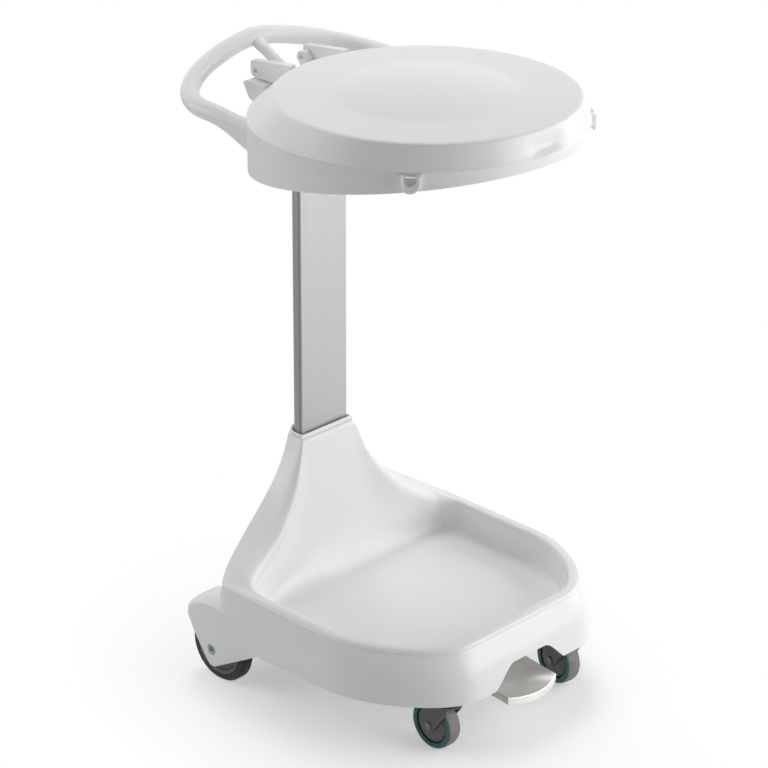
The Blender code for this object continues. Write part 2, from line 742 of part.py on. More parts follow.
head = piece("head_moulding",
             loft([ring_section(2 * pi * i / HEAD_STEPS) for i in range(HEAD_STEPS)], closed=True),
             WHITE_ABS)
socket_half = COLUMN_WIDTH / 2 + SOCKET_WALL
socket_front = -SOCKET_WALL
socket_low = band_z(socket_front)
socket_corner = 0.6 * COLUMN_BACK_RADIUS
socket_side = [(socket_half, socket_front)] + arc((socket_half - socket_corner, SOCKET_BACK - socket_corner),
                                                  socket_corner, 0, 90, 4)
join(head, prism(socket_side + mirrored(socket_side)[::-1], "Z", socket_low, SEAM_Z - RING_WALL / 2))


def handle_section(t):
    """Section of the handle: a tall strip at the ring that turns into a round bar behind."""
    half = HANDLE_HALF_WIDTH
    root = Vector((half - 0.004, lid_y + sqrt(ring_radius ** 2 - half ** 2) - 0.020,
                   SEAM_Z - ARM_ROOT_HEIGHT / 2))
    corner = Vector((half, HANDLE_CORNER_BACK, HANDLE_CORNER_Z))
    crown = Vector((0, HANDLE_BACK - HANDLE_BAR_RADIUS / 3, HANDLE_CROWN_Z))
    reach = crown.y - corner.y
    rise = crown.z - corner.z
    if t <= 1:
        centre = bezier(root, root + Vector((0, 0.04, 0)), corner - Vector((0, 0.04, 0)), corner, t)
    else:
        centre = bezier(corner, corner + Vector((0, 0.74 * reach, 0.02 * rise)),
                        crown + Vector((0.62 * half, 0, -0.33 * rise)), crown, t - 1)
    return centre


def handle_rings():
    """The handle's rings from the right root round the back to the left root."""
    steps = [i / 5 for i in range(5)] + [1 + i / 9 for i in range(10)]
    centres = [handle_section(t) for t in steps]
    centres += [Vector((-c.x, c.y, c.z)) for c in centres[-2::-1]]
    shares = [min(t, 1) for t in steps]
    shares += shares[-2::-1]
    rings = []
    for i, centre in enumerate(centres):
        before = centres[max(i - 1, 0)]
        after = centres[min(i + 1, len(centres) - 1)]
        along = (after - before).normalized()
        side = along.cross(Vector((0, 0, 1))).normalized()
        up = side.cross(along).normalized()
        blend = smooth(shares[i])
        tall = ARM_ROOT_HEIGHT / 2 + (HANDLE_BAR_RADIUS - ARM_ROOT_HEIGHT / 2) * (1 - (1 - blend) ** 2)
        wide = ARM_THICK / 2 + (HANDLE_BAR_RADIUS - ARM_THICK / 2) * blend
        power = 0.55 + 0.45 * blend
        ring = []
        for k in range(10):
            a = 2 * pi * k / 10
            ca = cos(a)
            sa = sin(a)
            ring.append(centre + side * wide * (abs(ca) ** power) * (1 if ca > 0 else -1)
                        + up * tall * (abs(sa) ** power) * (1 if sa > 0 else -1))
        rings.append(ring)
    return rings


join(head, loft(handle_rings()))
spoke_rear = Vector((0, HANDLE_BACK - HANDLE_BAR_RADIUS, HANDLE_CROWN_Z - 0.35 * HANDLE_BAR_RADIUS))
spoke_front = Vector((0, SOCKET_BACK - 0.003, SEAM_Z - 0.014))
spoke_along = (spoke_rear - spoke_front).normalized()
spoke_up = Vector((1, 0, 0)).cross(spoke_along).normalized()
spoke_rings = []
for share in (0.0, 0.25, 0.5, 0.75, 1.0):
    centre = spoke_front.lerp(spoke_rear, share)
    flare = 1 + 0.35 * (2 * share - 1) ** 4
    ring = []
    for k in range(10):
        a = 2 * pi * k / 10
        ring.append(centre + Vector((SPOKE_WIDTH / 2 * flare * cos(a), 0, 0))
                    + spoke_up * SPOKE_THICK / 2 * sin(a))
    spoke_rings.append(ring)
join(head, loft(spoke_rings))

lug_low = hinge_z - LUG_RADIUS - RUNNING_GAP
knuckle_outer = LUG_X - SEAT_GAP
wall_y = lid_y + ring_radius - 2 * RING_WALL
knuckle = [(wall_y - 0.012, SEAM_Z - 0.030), (wall_y - 0.012, SEAM_Z - RING_WALL),
           (hinge_y - 0.020, SEAM_Z + 0.002)] + arc((hinge_y, hinge_z), 0.9 * LUG_RADIUS, 150, -60, 8) + [
    (hinge_y - 0.015, SEAM_Z - 0.025)]
wedge_top = lug_low - SWING_GAP
wedge = [(wall_y - 0.016, SEAM_Z - 0.036), (wall_y - 0.016, SEAM_Z - RING_WALL),
         (lid_back + 0.002, SEAM_Z - RING_WALL),
         (lid_back + 0.006, wedge_top), (hinge_y + 0.004, wedge_top), (hinge_y + 0.0105, wedge_top - 0.004),
         (hinge_y - 0.0015, wedge_top - 0.025), (lid_back, SEAM_Z - 0.036)]
join(head, both(lambda side: prism(knuckle, "X",
                                   *across(side, knuckle_outer - KNUCKLE_THICK, knuckle_outer))))
join(head, both(lambda side: prism(wedge, "X", *across(side, LUG_X + SEAT_GAP, WEDGE_X))))


def hook_frame(side):
    """Axes of a sack hook: across, out of the ring, and its middle on the ring's wall."""
    outward = Vector((side * sin(HOOK_ANGLE), -cos(HOOK_ANGLE), 0))
    sideways = Vector((-outward.y, outward.x, 0))
    return sideways, outward, Vector((0, lid_y, 0))


def hook_shape(side, width, bottom, near, far, rise):
    """A U-shaped outline on the ring's wall, pushed outwards from one radius to another."""
    sideways, outward, middle = hook_frame(side)
    top = SEAM_Z - 0.001
    radius = width / 2
    outline = [(radius, top + rise)]
    outline += arc((0, bottom + radius), radius, 0, -180, 10)
    outline += [(-radius, top + rise)]
    return loft([[middle + outward * depth + sideways * a + Vector((0, 0, z)) for a, z in outline]
                 for depth in (near, far)])


hook_low = SEAM_Z - 0.001 - HOOK_HEIGHT
join(head, both(lambda side: hook_shape(side, HOOK_WIDTH, hook_low, ring_radius - 0.4 * RING_WALL,
                                        ring_radius + HOOK_STAND, 0)))
cut(head, both(lambda side: hook_shape(side, HOOK_SLOT, hook_low + HOOK_FLOOR, ring_radius + 0.001,
                                       ring_radius + 0.03, 0.01)))

chamber_back = SOCKET_BACK - RING_WALL
chamber_half = 0.020
cut(head, prism(column_outline(SEAT_GAP), "Z", socket_low - 0.02, COLUMN_TOP_Z + SEAT_GAP))
cut(head, box((-chamber_half, column_mid - 2 * ROD_RADIUS, COLUMN_TOP_Z - 0.005),
              (chamber_half, chamber_back, SEAM_Z + 0.01)))
cut(head, both(lambda side: round_bar((hinge_y, hinge_z), HINGE_PIN_RADIUS + SEAT_GAP, "X",
                                      *across(side, knuckle_outer - KNUCKLE_THICK - 0.01, LUG_X + 0.01),
                                      12)))
for side in (-1, 1):
    piece("hinge_pin_left" if side < 0 else "hinge_pin_right",
          round_bar((hinge_y, hinge_z), HINGE_PIN_RADIUS, "X",
                    *sorted((side * (knuckle_outer - KNUCKLE_THICK), side * (LUG_X + LUG_THICK))), 12),
          STEEL)
    sideways, outward, middle = hook_frame(side)
    pin_middle = middle + outward * (ring_radius + HOOK_STAND / 2) + Vector((0, 0, SEAM_Z - 0.0045))
    pin_half = HOOK_SLOT / 2 - SEAT_GAP
    pin_rings = []
    for end in (-pin_half, pin_half):
        pin_rings.append([pin_middle + sideways * end + outward * HOOK_PIN_RADIUS * cos(a)
                          + Vector((0, 0, HOOK_PIN_RADIUS * sin(a)))
                          for a in [2 * pi * k / 8 for k in range(8)]])
    piece("hook_pin_left" if side < 0 else "hook_pin_right", loft(pin_rings), STEEL)

head_screw_z = (socket_low + COLUMN_TOP_Z) / 2
head_screw_seat = SOCKET_BACK - 2 * SCREW_HEAD
cut(head, both(lambda side: round_bar((side * screw_x, head_screw_z), SCREW_HEAD_RADIUS + SEAT_GAP, "Y",
                                      head_screw_seat, SOCKET_BACK + 0.01, 10)))
cut(head, both(lambda side: round_bar((side * screw_x, head_screw_z), SCREW_RADIUS + SEAT_GAP, "Y",
                                      column_mid, SOCKET_BACK, 10)))
cut(column, both(lambda side: round_bar((side * screw_x, head_screw_z), SCREW_RADIUS + SEAT_GAP, "Y",
                                        column_mid, SOCKET_BACK, 10)))
for side, word in ((-1, "left"), (1, "right")):
    piece(f"head_screw_{word}",
          screw((side * screw_x, head_screw_z), "Y", head_screw_seat, COLUMN_DEPTH - 2 * COLUMN_WALL),
          STEEL)

# Lid

LID_STEPS = 56
lid_low = SEAM_Z + 0.0005
lid_top = lid_low + LID_SKIRT
lid_axis = pivot("lid_hinge_axis", (0, hinge_y, hinge_z))
hinge_point = (0, hinge_y, hinge_z)


def lid_ring(radius, z, notch):
    """One level of the lid, drawn in at the front where fingers lift it."""
    ring = []
    for i in range(LID_STEPS):
        angle = 2 * pi * i / LID_STEPS
        off = min(angle, 2 * pi - angle) / NOTCH_HALF_ANGLE
        dent = NOTCH_DEPTH * notch * (1 - smooth(off))
        ring.append((sin(angle) * (radius - dent), lid_y - cos(angle) * (radius - dent), z))
    return ring


edge_round = 0.006
outside = [(LID_RADIUS, lid_low, 1), (LID_RADIUS - 0.0015, lid_low + 0.006, 1),
           (lid_top_radius + 0.009, lid_top - 0.015, 0.4), (lid_top_radius + 0.003, lid_top - edge_round, 0),
           (lid_top_radius - 0.002, lid_top - 0.0018, 0), (lid_top_radius - 0.010, lid_top, 0),
           (lid_dome_radius, lid_top + 0.0015, 0),
           (0.92 * lid_dome_radius, lid_top + 0.0015 + 0.22 * LID_DOME_RISE, 0),
           (0.72 * lid_dome_radius, lid_top + 0.0015 + 0.62 * LID_DOME_RISE, 0),
           (0.40 * lid_dome_radius, lid_top + 0.0015 + 0.93 * LID_DOME_RISE, 0),
           (0.10 * lid_dome_radius, lid_top + 0.0015 + LID_DOME_RISE, 0)]
inside = [(LID_RADIUS - LID_WALL, lid_low, 1), (lid_top_radius + 0.009 - LID_WALL, lid_top - 0.016, 0.4),
          (lid_top_radius - LID_WALL, lid_top - edge_round, 0),
          (lid_top_radius - 0.012, lid_top - LID_WALL, 0),
          (lid_dome_radius, lid_top + 0.0015 - LID_WALL, 0),
          (0.72 * lid_dome_radius, lid_top + 0.0015 + 0.62 * LID_DOME_RISE - LID_WALL, 0),
          (0.10 * lid_dome_radius, lid_top + 0.0015 + LID_DOME_RISE - LID_WALL, 0)]
lid = piece("lid", loft([lid_ring(*level) for level in inside[::-1] + outside]), WHITE_ABS, lid_axis,
            hinge_point)
lug = [(lid_back - 0.030, lid_low + 0.5 * LID_SKIRT), (lid_back - 0.030, lid_top + 0.001),
       (hinge_y - 0.004, hinge_z + LUG_RADIUS + 0.0055)] + arc((hinge_y - 0.001, hinge_z + 0.002),
                                                               LUG_RADIUS, 60, 0, 3) + [
    ] + arc((hinge_y, hinge_z), LUG_RADIUS, -15, -90, 4) + [(lid_back, lug_low + RUNNING_GAP)]
join(lid, both(lambda side: prism(lug, "X", *across(side, LUG_X + SEAT_GAP, LUG_X + LUG_THICK))))
cut(lid, both(lambda side: round_bar((hinge_y, hinge_z), HINGE_PIN_RADIUS + RUNNING_GAP, "X",
                                     *across(side, LUG_X - 0.01, LUG_X + LUG_THICK + 0.01), 12)))

# Crank under the lid and the rod that lifts it

crank_top = lid_top - LID_WALL - SEAT_GAP
crank_flange = 0.003
crank_front = lid_back - 0.068
lid_shoulder = lid_y + lid_top_radius
crank_rear = lid_shoulder - 0.0135
cheek_outer = ROD_HEAD_THICK / 2 + SWING_GAP + CRANK_CHEEK
cheek = [(crank_front, crank_top), (crank_rear, crank_top), (lid_shoulder + 0.003, crank_top - 0.012),
         (lid_back - LID_WALL - 0.0035, lid_low - 0.001)] + arc((crank_y, crank_z), 2 * CRANK_PIN_RADIUS, 40,
                                                                -130, 7) + [
    (crank_front, crank_top - 0.008)]
crank = piece("lid_crank", prism(cheek, "X", -cheek_outer, cheek_outer), STEEL, lid_axis, hinge_point)
cut(crank, prism([(crank_front - 0.01, crank_top - crank_flange),
                  (lid_back + 0.02, crank_top - crank_flange),
                  (lid_back + 0.02, crank_z - 0.02), (crank_front - 0.01, crank_z - 0.02)], "X",
                 CRANK_CHEEK - cheek_outer, cheek_outer - CRANK_CHEEK))
cut(crank, round_bar((crank_y, crank_z), CRANK_PIN_RADIUS + SEAT_GAP, "X", -0.03, 0.03, 12))
piece("crank_pin", round_bar((crank_y, crank_z), CRANK_PIN_RADIUS, "X", -cheek_outer, cheek_outer, 12),
      STEEL,
      lid_axis, hinge_point)

rod_axis = pivot("lift_rod_axis", (0, column_mid, rod_z))
rod_point = (0, column_mid, rod_z)
head_stem_z = COLUMN_TOP_Z + 0.0035
rod_top = head_stem_z - SEAT_GAP
piece("lift_rod", round_bar((0, column_mid), ROD_RADIUS, "Z", rod_z, rod_top, 16), STEEL, rod_axis,
      rod_point)
piece("rod_foot", stacked([(0.8 * ROD_FOOT_RADIUS, rod_foot_z), (ROD_FOOT_RADIUS, rod_foot_z + 0.001),
                           (ROD_FOOT_RADIUS, rod_z - SEAT_GAP)], (0, column_mid), "Z", 20), NATURAL_NYLON,
      rod_axis, rod_point)
slot_half = CRANK_PIN_RADIUS + SWING_GAP + 0.0003
slot_front = hinge_y - CRANK_RADIUS - slot_half
slot_back = crank_y + slot_half
plate_back = slot_back + 0.0028
plate = [(column_mid - ROD_RADIUS, head_stem_z), (column_mid + ROD_RADIUS, head_stem_z),
         (plate_back, crank_z - slot_half - 0.0055)]
plate += arc((slot_back - slot_half, crank_z), plate_back - slot_back + slot_half, 0, 90, 5)
plate += [(slot_front - 0.004, crank_z + slot_half + 0.0028), (column_mid - ROD_RADIUS, crank_z - slot_half)]
rod_head = piece("rod_head", prism(plate, "X", -ROD_HEAD_THICK / 2, ROD_HEAD_THICK / 2), STEEL, rod_axis,
                 rod_point)
slot = arc((slot_front + slot_half, crank_z), slot_half, 90, 270, 6) + arc((slot_back - slot_half, crank_z),
                                                                           slot_half,
                                                                           -90, 90, 6)
cut(rod_head, prism(slot, "X", -0.02, 0.02))

crank_screw_spots = {"front": (0, crank_front + 0.010), "rear": (0, crank_front + 0.026)}
cut(crank, merged(*[round_bar(spot, SCREW_RADIUS + SEAT_GAP, "Z", crank_top - 0.01, crank_top + 0.01, 8)
                    for spot in crank_screw_spots.values()]))
cut(lid, merged(*[round_bar(spot, SCREW_RADIUS + SEAT_GAP, "Z",
                            crank_top - 0.01, crank_top + 0.75 * LID_WALL, 8)
                  for spot in crank_screw_spots.values()]))
for word, spot in crank_screw_spots.items():
    piece(f"crank_screw_{word}", screw(spot, "Z", crank_top - crank_flange, crank_top + 0.6 * LID_WALL,
                                       0.8 * SCREW_HEAD_RADIUS, 0.7 * SCREW_HEAD), STEEL, lid_axis,
          hinge_point)

# Pedal, its arm, bracket and pivot

pedal_axis = pivot("pedal_axis", (0, -PIVOT_FRONT, PIVOT_Z))
pedal_point = (0, -PIVOT_FRONT, PIVOT_Z)
pedal_back = pedal_front - PEDAL_LENGTH


def pedal_top(y):
    """Height of the pedal's sloping top."""
    return PEDAL_TOP_Z + PEDAL_SLOPE * (y + pedal_front)


def pedal_ring(inset, drop):
    """The pedal's outline with its bowed front, drawn in and lowered from the top."""
    half = PEDAL_HALF_WIDTH - inset
    front = -pedal_front + inset
    ring = [(half, -pedal_back - inset)]
    for i in range(11):
        x = half * (1 - i / 5)
        ring.append((x, front - PEDAL_BULGE * (1 - (x / half) ** 2)))
    ring.append((-half, -pedal_back - inset))
    return [(x, y, pedal_top(y) - drop) for x, y in ring]


pedal_levels = [(PEDAL_SHEET, PEDAL_SHEET), (PEDAL_SHEET, PEDAL_FLANGE), (0, PEDAL_FLANGE), (0, 0.001),
                (0.001, 0)]
piece("pedal_plate", loft([pedal_ring(*level) for level in pedal_levels]), STAINLESS, pedal_axis,
      pedal_point)

arm_front = -pedal_front + 0.012
under_front = pedal_top(arm_front) - PEDAL_SHEET - SEAT_GAP
under_back = pedal_top(-pedal_back - PEDAL_SHEET) - PEDAL_SHEET - SEAT_GAP
arm_side = [(arm_front, under_front - ARM_BAR), (arm_front, under_front),
            (-pedal_back - PEDAL_SHEET - 0.001, under_back),
            (-pedal_back + 0.02, pedal_top(-pedal_back) - PEDAL_FLANGE - 0.002 + ARM_BAR),
            (-PIVOT_FRONT, PIVOT_Z + ARM_BAR / 2), (column_mid, NOSE_Z + ARM_BAR / 2),
            (column_mid, NOSE_Z - ARM_BAR / 2),
            (-PIVOT_FRONT, PIVOT_Z - ARM_BAR / 2),
            (-pedal_back + 0.014, pedal_top(-pedal_back) - PEDAL_FLANGE - 0.004)]
arm = piece("pedal_arm", prism(arm_side, "X", -ARM_HALF_WIDTH, ARM_HALF_WIDTH), STEEL, pedal_axis,
            pedal_point)
cut(arm, box((-0.03, -pedal_back - PEDAL_SHEET - SEAT_GAP, pedal_top(-pedal_back) - PEDAL_FLANGE - SEAT_GAP),
             (0.03, -pedal_back + SEAT_GAP, pedal_top(-pedal_back) + 0.01)))
hub_radius = 2 * PIVOT_RADIUS
join(arm, round_bar((-PIVOT_FRONT, PIVOT_Z), hub_radius, "X",
                    -ARM_HALF_WIDTH - 0.002, ARM_HALF_WIDTH + 0.002, 16))
join(arm, round_bar((column_mid, NOSE_Z), NOSE_RADIUS, "X", -0.6 * ARM_HALF_WIDTH, 0.6 * ARM_HALF_WIDTH, 16))
cut(arm, round_bar((-PIVOT_FRONT, PIVOT_Z), PIVOT_RADIUS + RUNNING_GAP, "X", -0.04, 0.04, 16))

bracket_wall = 0.003
bracket_inner = ARM_HALF_WIDTH + 0.002 + RUNNING_GAP
bracket_outer = bracket_inner + bracket_wall
bracket_top = floor_under - SEAT_GAP
bracket_half = 0.022
bracket_side = [(-PIVOT_FRONT - bracket_half, bracket_top),
                (-PIVOT_FRONT - bracket_half, bracket_top - bracket_wall)]
bracket_side += arc((-PIVOT_FRONT, PIVOT_Z), hub_radius + 0.002, 200, 340, 6)
bracket_side += [(-PIVOT_FRONT + bracket_half, bracket_top - bracket_wall),
                 (-PIVOT_FRONT + bracket_half, bracket_top)]
bracket = piece("pedal_bracket", prism(bracket_side, "X", -bracket_outer, bracket_outer), STEEL)
cut(bracket, box((-bracket_inner, -PIVOT_FRONT - 0.05, 0.03),
                 (bracket_inner, -PIVOT_FRONT + 0.05, bracket_top - bracket_wall)))
cut(bracket, round_bar((-PIVOT_FRONT, PIVOT_Z), PIVOT_RADIUS + SEAT_GAP, "X", -0.04, 0.04, 16))
piece("pedal_pivot_pin", round_bar((-PIVOT_FRONT, PIVOT_Z), PIVOT_RADIUS, "X", -bracket_outer - 0.001,
                                   bracket_outer + 0.001, 16),
      STEEL)
bracket_screw_spots = {"front": (0, -PIVOT_FRONT - 0.016), "rear": (0, -PIVOT_FRONT + 0.016)}
cut(bracket, merged(*[round_bar(spot, SCREW_RADIUS + SEAT_GAP, "Z",
                                bracket_top - 0.01, bracket_top + 0.01, 8)
                      for spot in bracket_screw_spots.values()]))
cut(base, merged(*[round_bar(spot, SCREW_RADIUS + SEAT_GAP, "Z",
                             floor_under - 0.01, floor_under + 0.7 * BASE_WALL, 8)
                   for spot in bracket_screw_spots.values()]))
for word, spot in bracket_screw_spots.items():
    piece(f"bracket_screw_{word}",
          screw(spot, "Z", bracket_top - bracket_wall, floor_under + 0.6 * BASE_WALL,
                                         0.8 * SCREW_HEAD_RADIUS, 0.6 * SCREW_HEAD), STEEL)

# Rear wheels

for side, word in ((-1, "left"), (1, "right")):
    axle = (REAR_AXLE_BACK, rear_axle_z)
    half = REAR_WIDTH / 2
    rim = REAR_RADIUS - REAR_TYRE_DEPTH
    spin = pivot(f"rear_wheel_{word}_axis", (side * rear_wheel_x, *axle))
    spin_point = (side * rear_wheel_x, *axle)
    middle = side * rear_wheel_x
    tyre = [(rim + SEAT_GAP, -half), (REAR_RADIUS - 0.004, -half), (REAR_RADIUS, 0.005 - half),
            (REAR_RADIUS, half - 0.005), (REAR_RADIUS - 0.004, half), (rim + SEAT_GAP, half)]
    piece(f"rear_tyre_{word}", turned([(r, middle + x) for r, x in tyre], axle, "X", 32), BLACK_RUBBER, spin,
          spin_point)
    bore = REAR_BOLT_RADIUS + RUNNING_GAP
    hub = [(bore, -half - 0.002), (0.012, -half - 0.002), (0.014, 0.006 - half), (rim - 0.007, 0.006 - half),
           (rim - 0.004, -half), (rim, -half), (rim, half), (rim - 0.004, half), (rim - 0.007, half - 0.006),
           (0.014, half - 0.006), (0.012, half + 0.002), (bore, half + 0.002)]
    piece(f"rear_hub_{word}", turned([(r, middle + x) for r, x in hub], axle, "X", 24), HUB_GREY, spin,
          spin_point)
    face = hood_face_x - SCREW_HEAD + SEAT_GAP
    inner = well_inner_x - HOOD_INNER_CHEEK
    bolt = [(2 * REAR_BOLT_RADIUS, side * (face + SCREW_HEAD - 2 * SEAT_GAP)),
            (2 * REAR_BOLT_RADIUS, side * face),
            (REAR_BOLT_RADIUS, side * face), (REAR_BOLT_RADIUS, side * (inner - 0.009))]
    bolt_piece = piece(f"rear_axle_bolt_{word}", stacked(bolt, axle, "X", 12), STEEL)
    cut(bolt_piece, round_bar(axle, 0.55 * REAR_BOLT_RADIUS, "X", *sorted((side * (face + 0.4 * SCREW_HEAD),
                                                                          side * (hood_face_x + 0.01))), 6))
    nut_far = inner - SEAT_GAP
    piece(f"rear_axle_nut_{word}",
          sleeve(circle(axle, 1.9 * REAR_BOLT_RADIUS, 12), circle(axle, REAR_BOLT_RADIUS + SEAT_GAP, 12),
                                          "X", *sorted((side * nut_far, side * (nut_far - 0.0065)))), STEEL)

# Casters, each modelled round its stem with the wheel trailing towards local +Y

for side, word, turn in ((-1, "left", CASTER_TURN_LEFT), (1, "right", CASTER_TURN_RIGHT)):
    spot = (side * caster_x, -caster_front, 0)
    swivel = pivot(f"caster_{word}_swivel_axis", spot, turn)
    axle = (CASTER_TRAIL, CASTER_RADIUS)
    wheel_point = (0, *axle)
    spin = pivot(f"caster_{word}_spin_axis", wheel_point, 0, swivel)
    half = CASTER_WIDTH / 2
    leg_inner = half + FORK_GAP
    leg_outer = leg_inner + FORK_WALL
    kingpin = 0.004
    stem = [(kingpin, crown_z - 0.002), (kingpin, crown_top + SEAT_GAP),
            (BEARING_RADIUS, crown_top + SEAT_GAP),
            (BEARING_RADIUS, boss_z - SEAT_GAP), (STEM_RADIUS, boss_z - SEAT_GAP),
            (STEM_RADIUS, boss_z + STEM_LENGTH)]
    piece(f"caster_stem_{word}", stacked(stem, (0, 0), "Z", 14), STEEL, swivel)
    leg = [(-0.014, crown_top), (-0.012, crown_z - 0.008)] + arc(axle, 0.0095, 225, 360, 6) + [
        (CASTER_TRAIL + 0.0115, CASTER_RADIUS + 0.012), (CASTER_TRAIL + 0.012, crown_top)]
    fork = piece(f"caster_fork_{word}", prism(leg, "X", -leg_outer, leg_outer), CASTER_GREY, swivel)
    join(fork, stacked([(CROWN_RADIUS - 0.001, crown_z), (CROWN_RADIUS, crown_z + 0.001),
                        (CROWN_RADIUS, crown_top - 0.0005),
                        (CROWN_RADIUS - 0.001, crown_top - 0.0002)], (0, 0), "Z", 16))
    cut(fork, box((-leg_inner, -0.05, 0), (leg_inner, 0.08, crown_z)))
    cut(fork, round_bar((0, 0), kingpin + RUNNING_GAP, "Z", crown_z - 0.01, crown_top + 0.01))
    cut(fork, round_bar(axle, 0.5 * kingpin + 0.002 + SEAT_GAP, "X", -0.03, 0.03, 12))
    axle_radius = 0.5 * kingpin + 0.002
    piece(f"caster_axle_{word}",
          stacked([(axle_radius + 0.002, -leg_outer - 0.0018), (axle_radius + 0.002, -leg_outer - SEAT_GAP),
                                          (axle_radius, -leg_outer - SEAT_GAP),
                   (axle_radius, leg_outer + SEAT_GAP),
                                          (axle_radius + 0.002, leg_outer + SEAT_GAP),
                                          (axle_radius + 0.002, leg_outer + 0.0018)], axle, "X", 12), STEEL,
          swivel)
    tread = CASTER_RADIUS - CASTER_TREAD
    flange = 0.0017
    band = half - flange - SEAT_GAP
    tyre = [(tread + SEAT_GAP, -band), (CASTER_RADIUS - 0.0006, -band), (CASTER_RADIUS, 0.0022 - band),
            (CASTER_RADIUS, band - 0.0022), (CASTER_RADIUS - 0.0006, band), (tread + SEAT_GAP, band)]
    piece(f"caster_tyre_{word}", turned(tyre, axle, "X", 28), TREAD_GREY, spin, wheel_point)
    seat = tread - 0.0035
    rim = [(seat, -half), (CASTER_RADIUS - 0.0014, -half), (CASTER_RADIUS - 0.0008, flange - half),
           (tread, flange - half),
           (tread, half - flange), (CASTER_RADIUS - 0.0008, half - flange), (CASTER_RADIUS - 0.0014, half),
           (seat, half)]
    piece(f"caster_rim_{word}", turned(rim, axle, "X", 28), CASTER_TEAL, spin, wheel_point)
    disc = seat - 0.0025
    web = 0.004
    bore = axle_radius + RUNNING_GAP
    hub = [(bore, -half - 0.0015), (0.009, -half - 0.0015), (disc, 0.0015 - half), (disc, -web),
           (seat - SEAT_GAP, -web),
           (seat - SEAT_GAP, web), (disc, web), (disc, half - 0.0015), (0.009, half + 0.0015),
           (bore, half + 0.0015)]
    piece(f"caster_hub_{word}", turned(hub, axle, "X", 20), CASTER_GREY, spin, wheel_point)

bpy.context.view_layer.update()
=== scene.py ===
"""Looks of a pedal-operated waste sack holder: materials, finer pieces, light and camera over its frame."""
from math import cos, exp, pi, radians, sin

import bmesh
import bpy
from mathutils import Matrix, Vector


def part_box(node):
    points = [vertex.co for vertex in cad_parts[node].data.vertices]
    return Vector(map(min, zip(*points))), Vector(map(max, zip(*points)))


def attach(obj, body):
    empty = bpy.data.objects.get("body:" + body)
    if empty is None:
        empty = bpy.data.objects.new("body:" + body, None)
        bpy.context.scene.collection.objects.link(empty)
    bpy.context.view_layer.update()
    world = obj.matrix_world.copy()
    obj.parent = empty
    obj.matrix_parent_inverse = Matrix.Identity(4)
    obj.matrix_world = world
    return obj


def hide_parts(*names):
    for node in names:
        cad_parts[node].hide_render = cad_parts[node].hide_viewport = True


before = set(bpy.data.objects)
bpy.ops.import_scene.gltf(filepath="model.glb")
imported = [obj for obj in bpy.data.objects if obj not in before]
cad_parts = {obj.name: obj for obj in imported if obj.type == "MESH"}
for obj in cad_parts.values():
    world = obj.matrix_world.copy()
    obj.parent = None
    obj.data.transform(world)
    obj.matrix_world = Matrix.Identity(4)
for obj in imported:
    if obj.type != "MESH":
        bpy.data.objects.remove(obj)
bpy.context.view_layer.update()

# Base moulding: one white injection-moulded shell with the tray, the flared neck that holds the column,
# the rear wheel hoods, the toe arch over the pedal and the bosses that take the caster stems.
# Its even gloss comes straight from a polished mould.


class Wire:
    """A socket among a material's nodes. Arithmetic on it adds Math nodes."""

    def __init__(self, tree, socket=None):
        self.tree = tree
        self.socket = socket

    def make(self, kind, settings, sockets, out=0):
        """Adds a node: its type, its settings, then the values or links of its sockets."""
        node = self.tree.nodes.new(kind)
        for key, value in settings.items():
            setattr(node, key, value)
        for key, value in sockets.items():
            if isinstance(value, Wire):
                self.tree.links.new(value.socket, node.inputs[key])
            else:
                node.inputs[key].default_value = value
        return Wire(self.tree, node.outputs[out])

    def math(self, operation, first, second):
        """Two values put together by one Math node."""
        return self.make("ShaderNodeMath", {"operation": operation}, {0: first, 1: second})

    def __add__(self, other):
        return self.math("ADD", self, other)

    def __radd__(self, other):
        return self.math("ADD", other, self)

    def __sub__(self, other):
        return self.math("SUBTRACT", self, other)

    def __rsub__(self, other):
        return self.math("SUBTRACT", other, self)

    def __mul__(self, other):
        return self.math("MULTIPLY", self, other)

    def __rmul__(self, other):
        return self.math("MULTIPLY", other, self)

    def noise(self, scale, detail, stretch=(1, 1, 1)):
        """Cloudy noise over the piece, from 0 to 1; stretch makes it finer along an axis."""
        place = self.make("ShaderNodeVectorMath", {"operation": "MULTIPLY"}, {0: self, 1: stretch})
        return self.make("ShaderNodeTexNoise", {}, {"Vector": place, "Scale": scale, "Detail": detail}, "Fac")

    def ramp(self, low, high):
        """0 below low, 1 above high and a straight rise between."""
        limits = {"Value": self, "From Min": low, "From Max": high}
        return self.make("ShaderNodeMapRange", {"clamp": True}, limits)

    def tint(self, first, second):
        """A colour between two, by this value."""
        return self.make("ShaderNodeMix", {"data_type": "RGBA"},
                         {"Factor": self, 6: (*first, 1), 7: (*second, 1)}, 2)

    def bump(self, distance, strength):
        """A surface direction that follows this value as a height."""
        relief = {"Height": self, "Distance": distance, "Strength": strength}
        return self.make("ShaderNodeBump", {}, relief, "Normal")

    def part(self, letter):
        """One coordinate of a place."""
        return self.make("ShaderNodeSeparateXYZ", {}, {"Vector": self}, letter)


def finish(name, **plain):
    """A new material with the plain values of its shader set, the shader, and the place on the piece."""
    material = bpy.data.materials.new(name)
    material.use_nodes = True
    shader = material.node_tree.nodes["Principled BSDF"]
    for key, value in plain.items():
        shader.inputs[key.replace("_", " ")].default_value = value
    place = Wire(material.node_tree).make("ShaderNodeTexCoord", {}, {}, "Object")
    return material, shader, place


def feed(shader, **wires):
    """Links what changes over the surface to the shader."""
    for key, wire in wires.items():
        wire.tree.links.new(wire.socket, shader.inputs[key.replace("_", " ")])


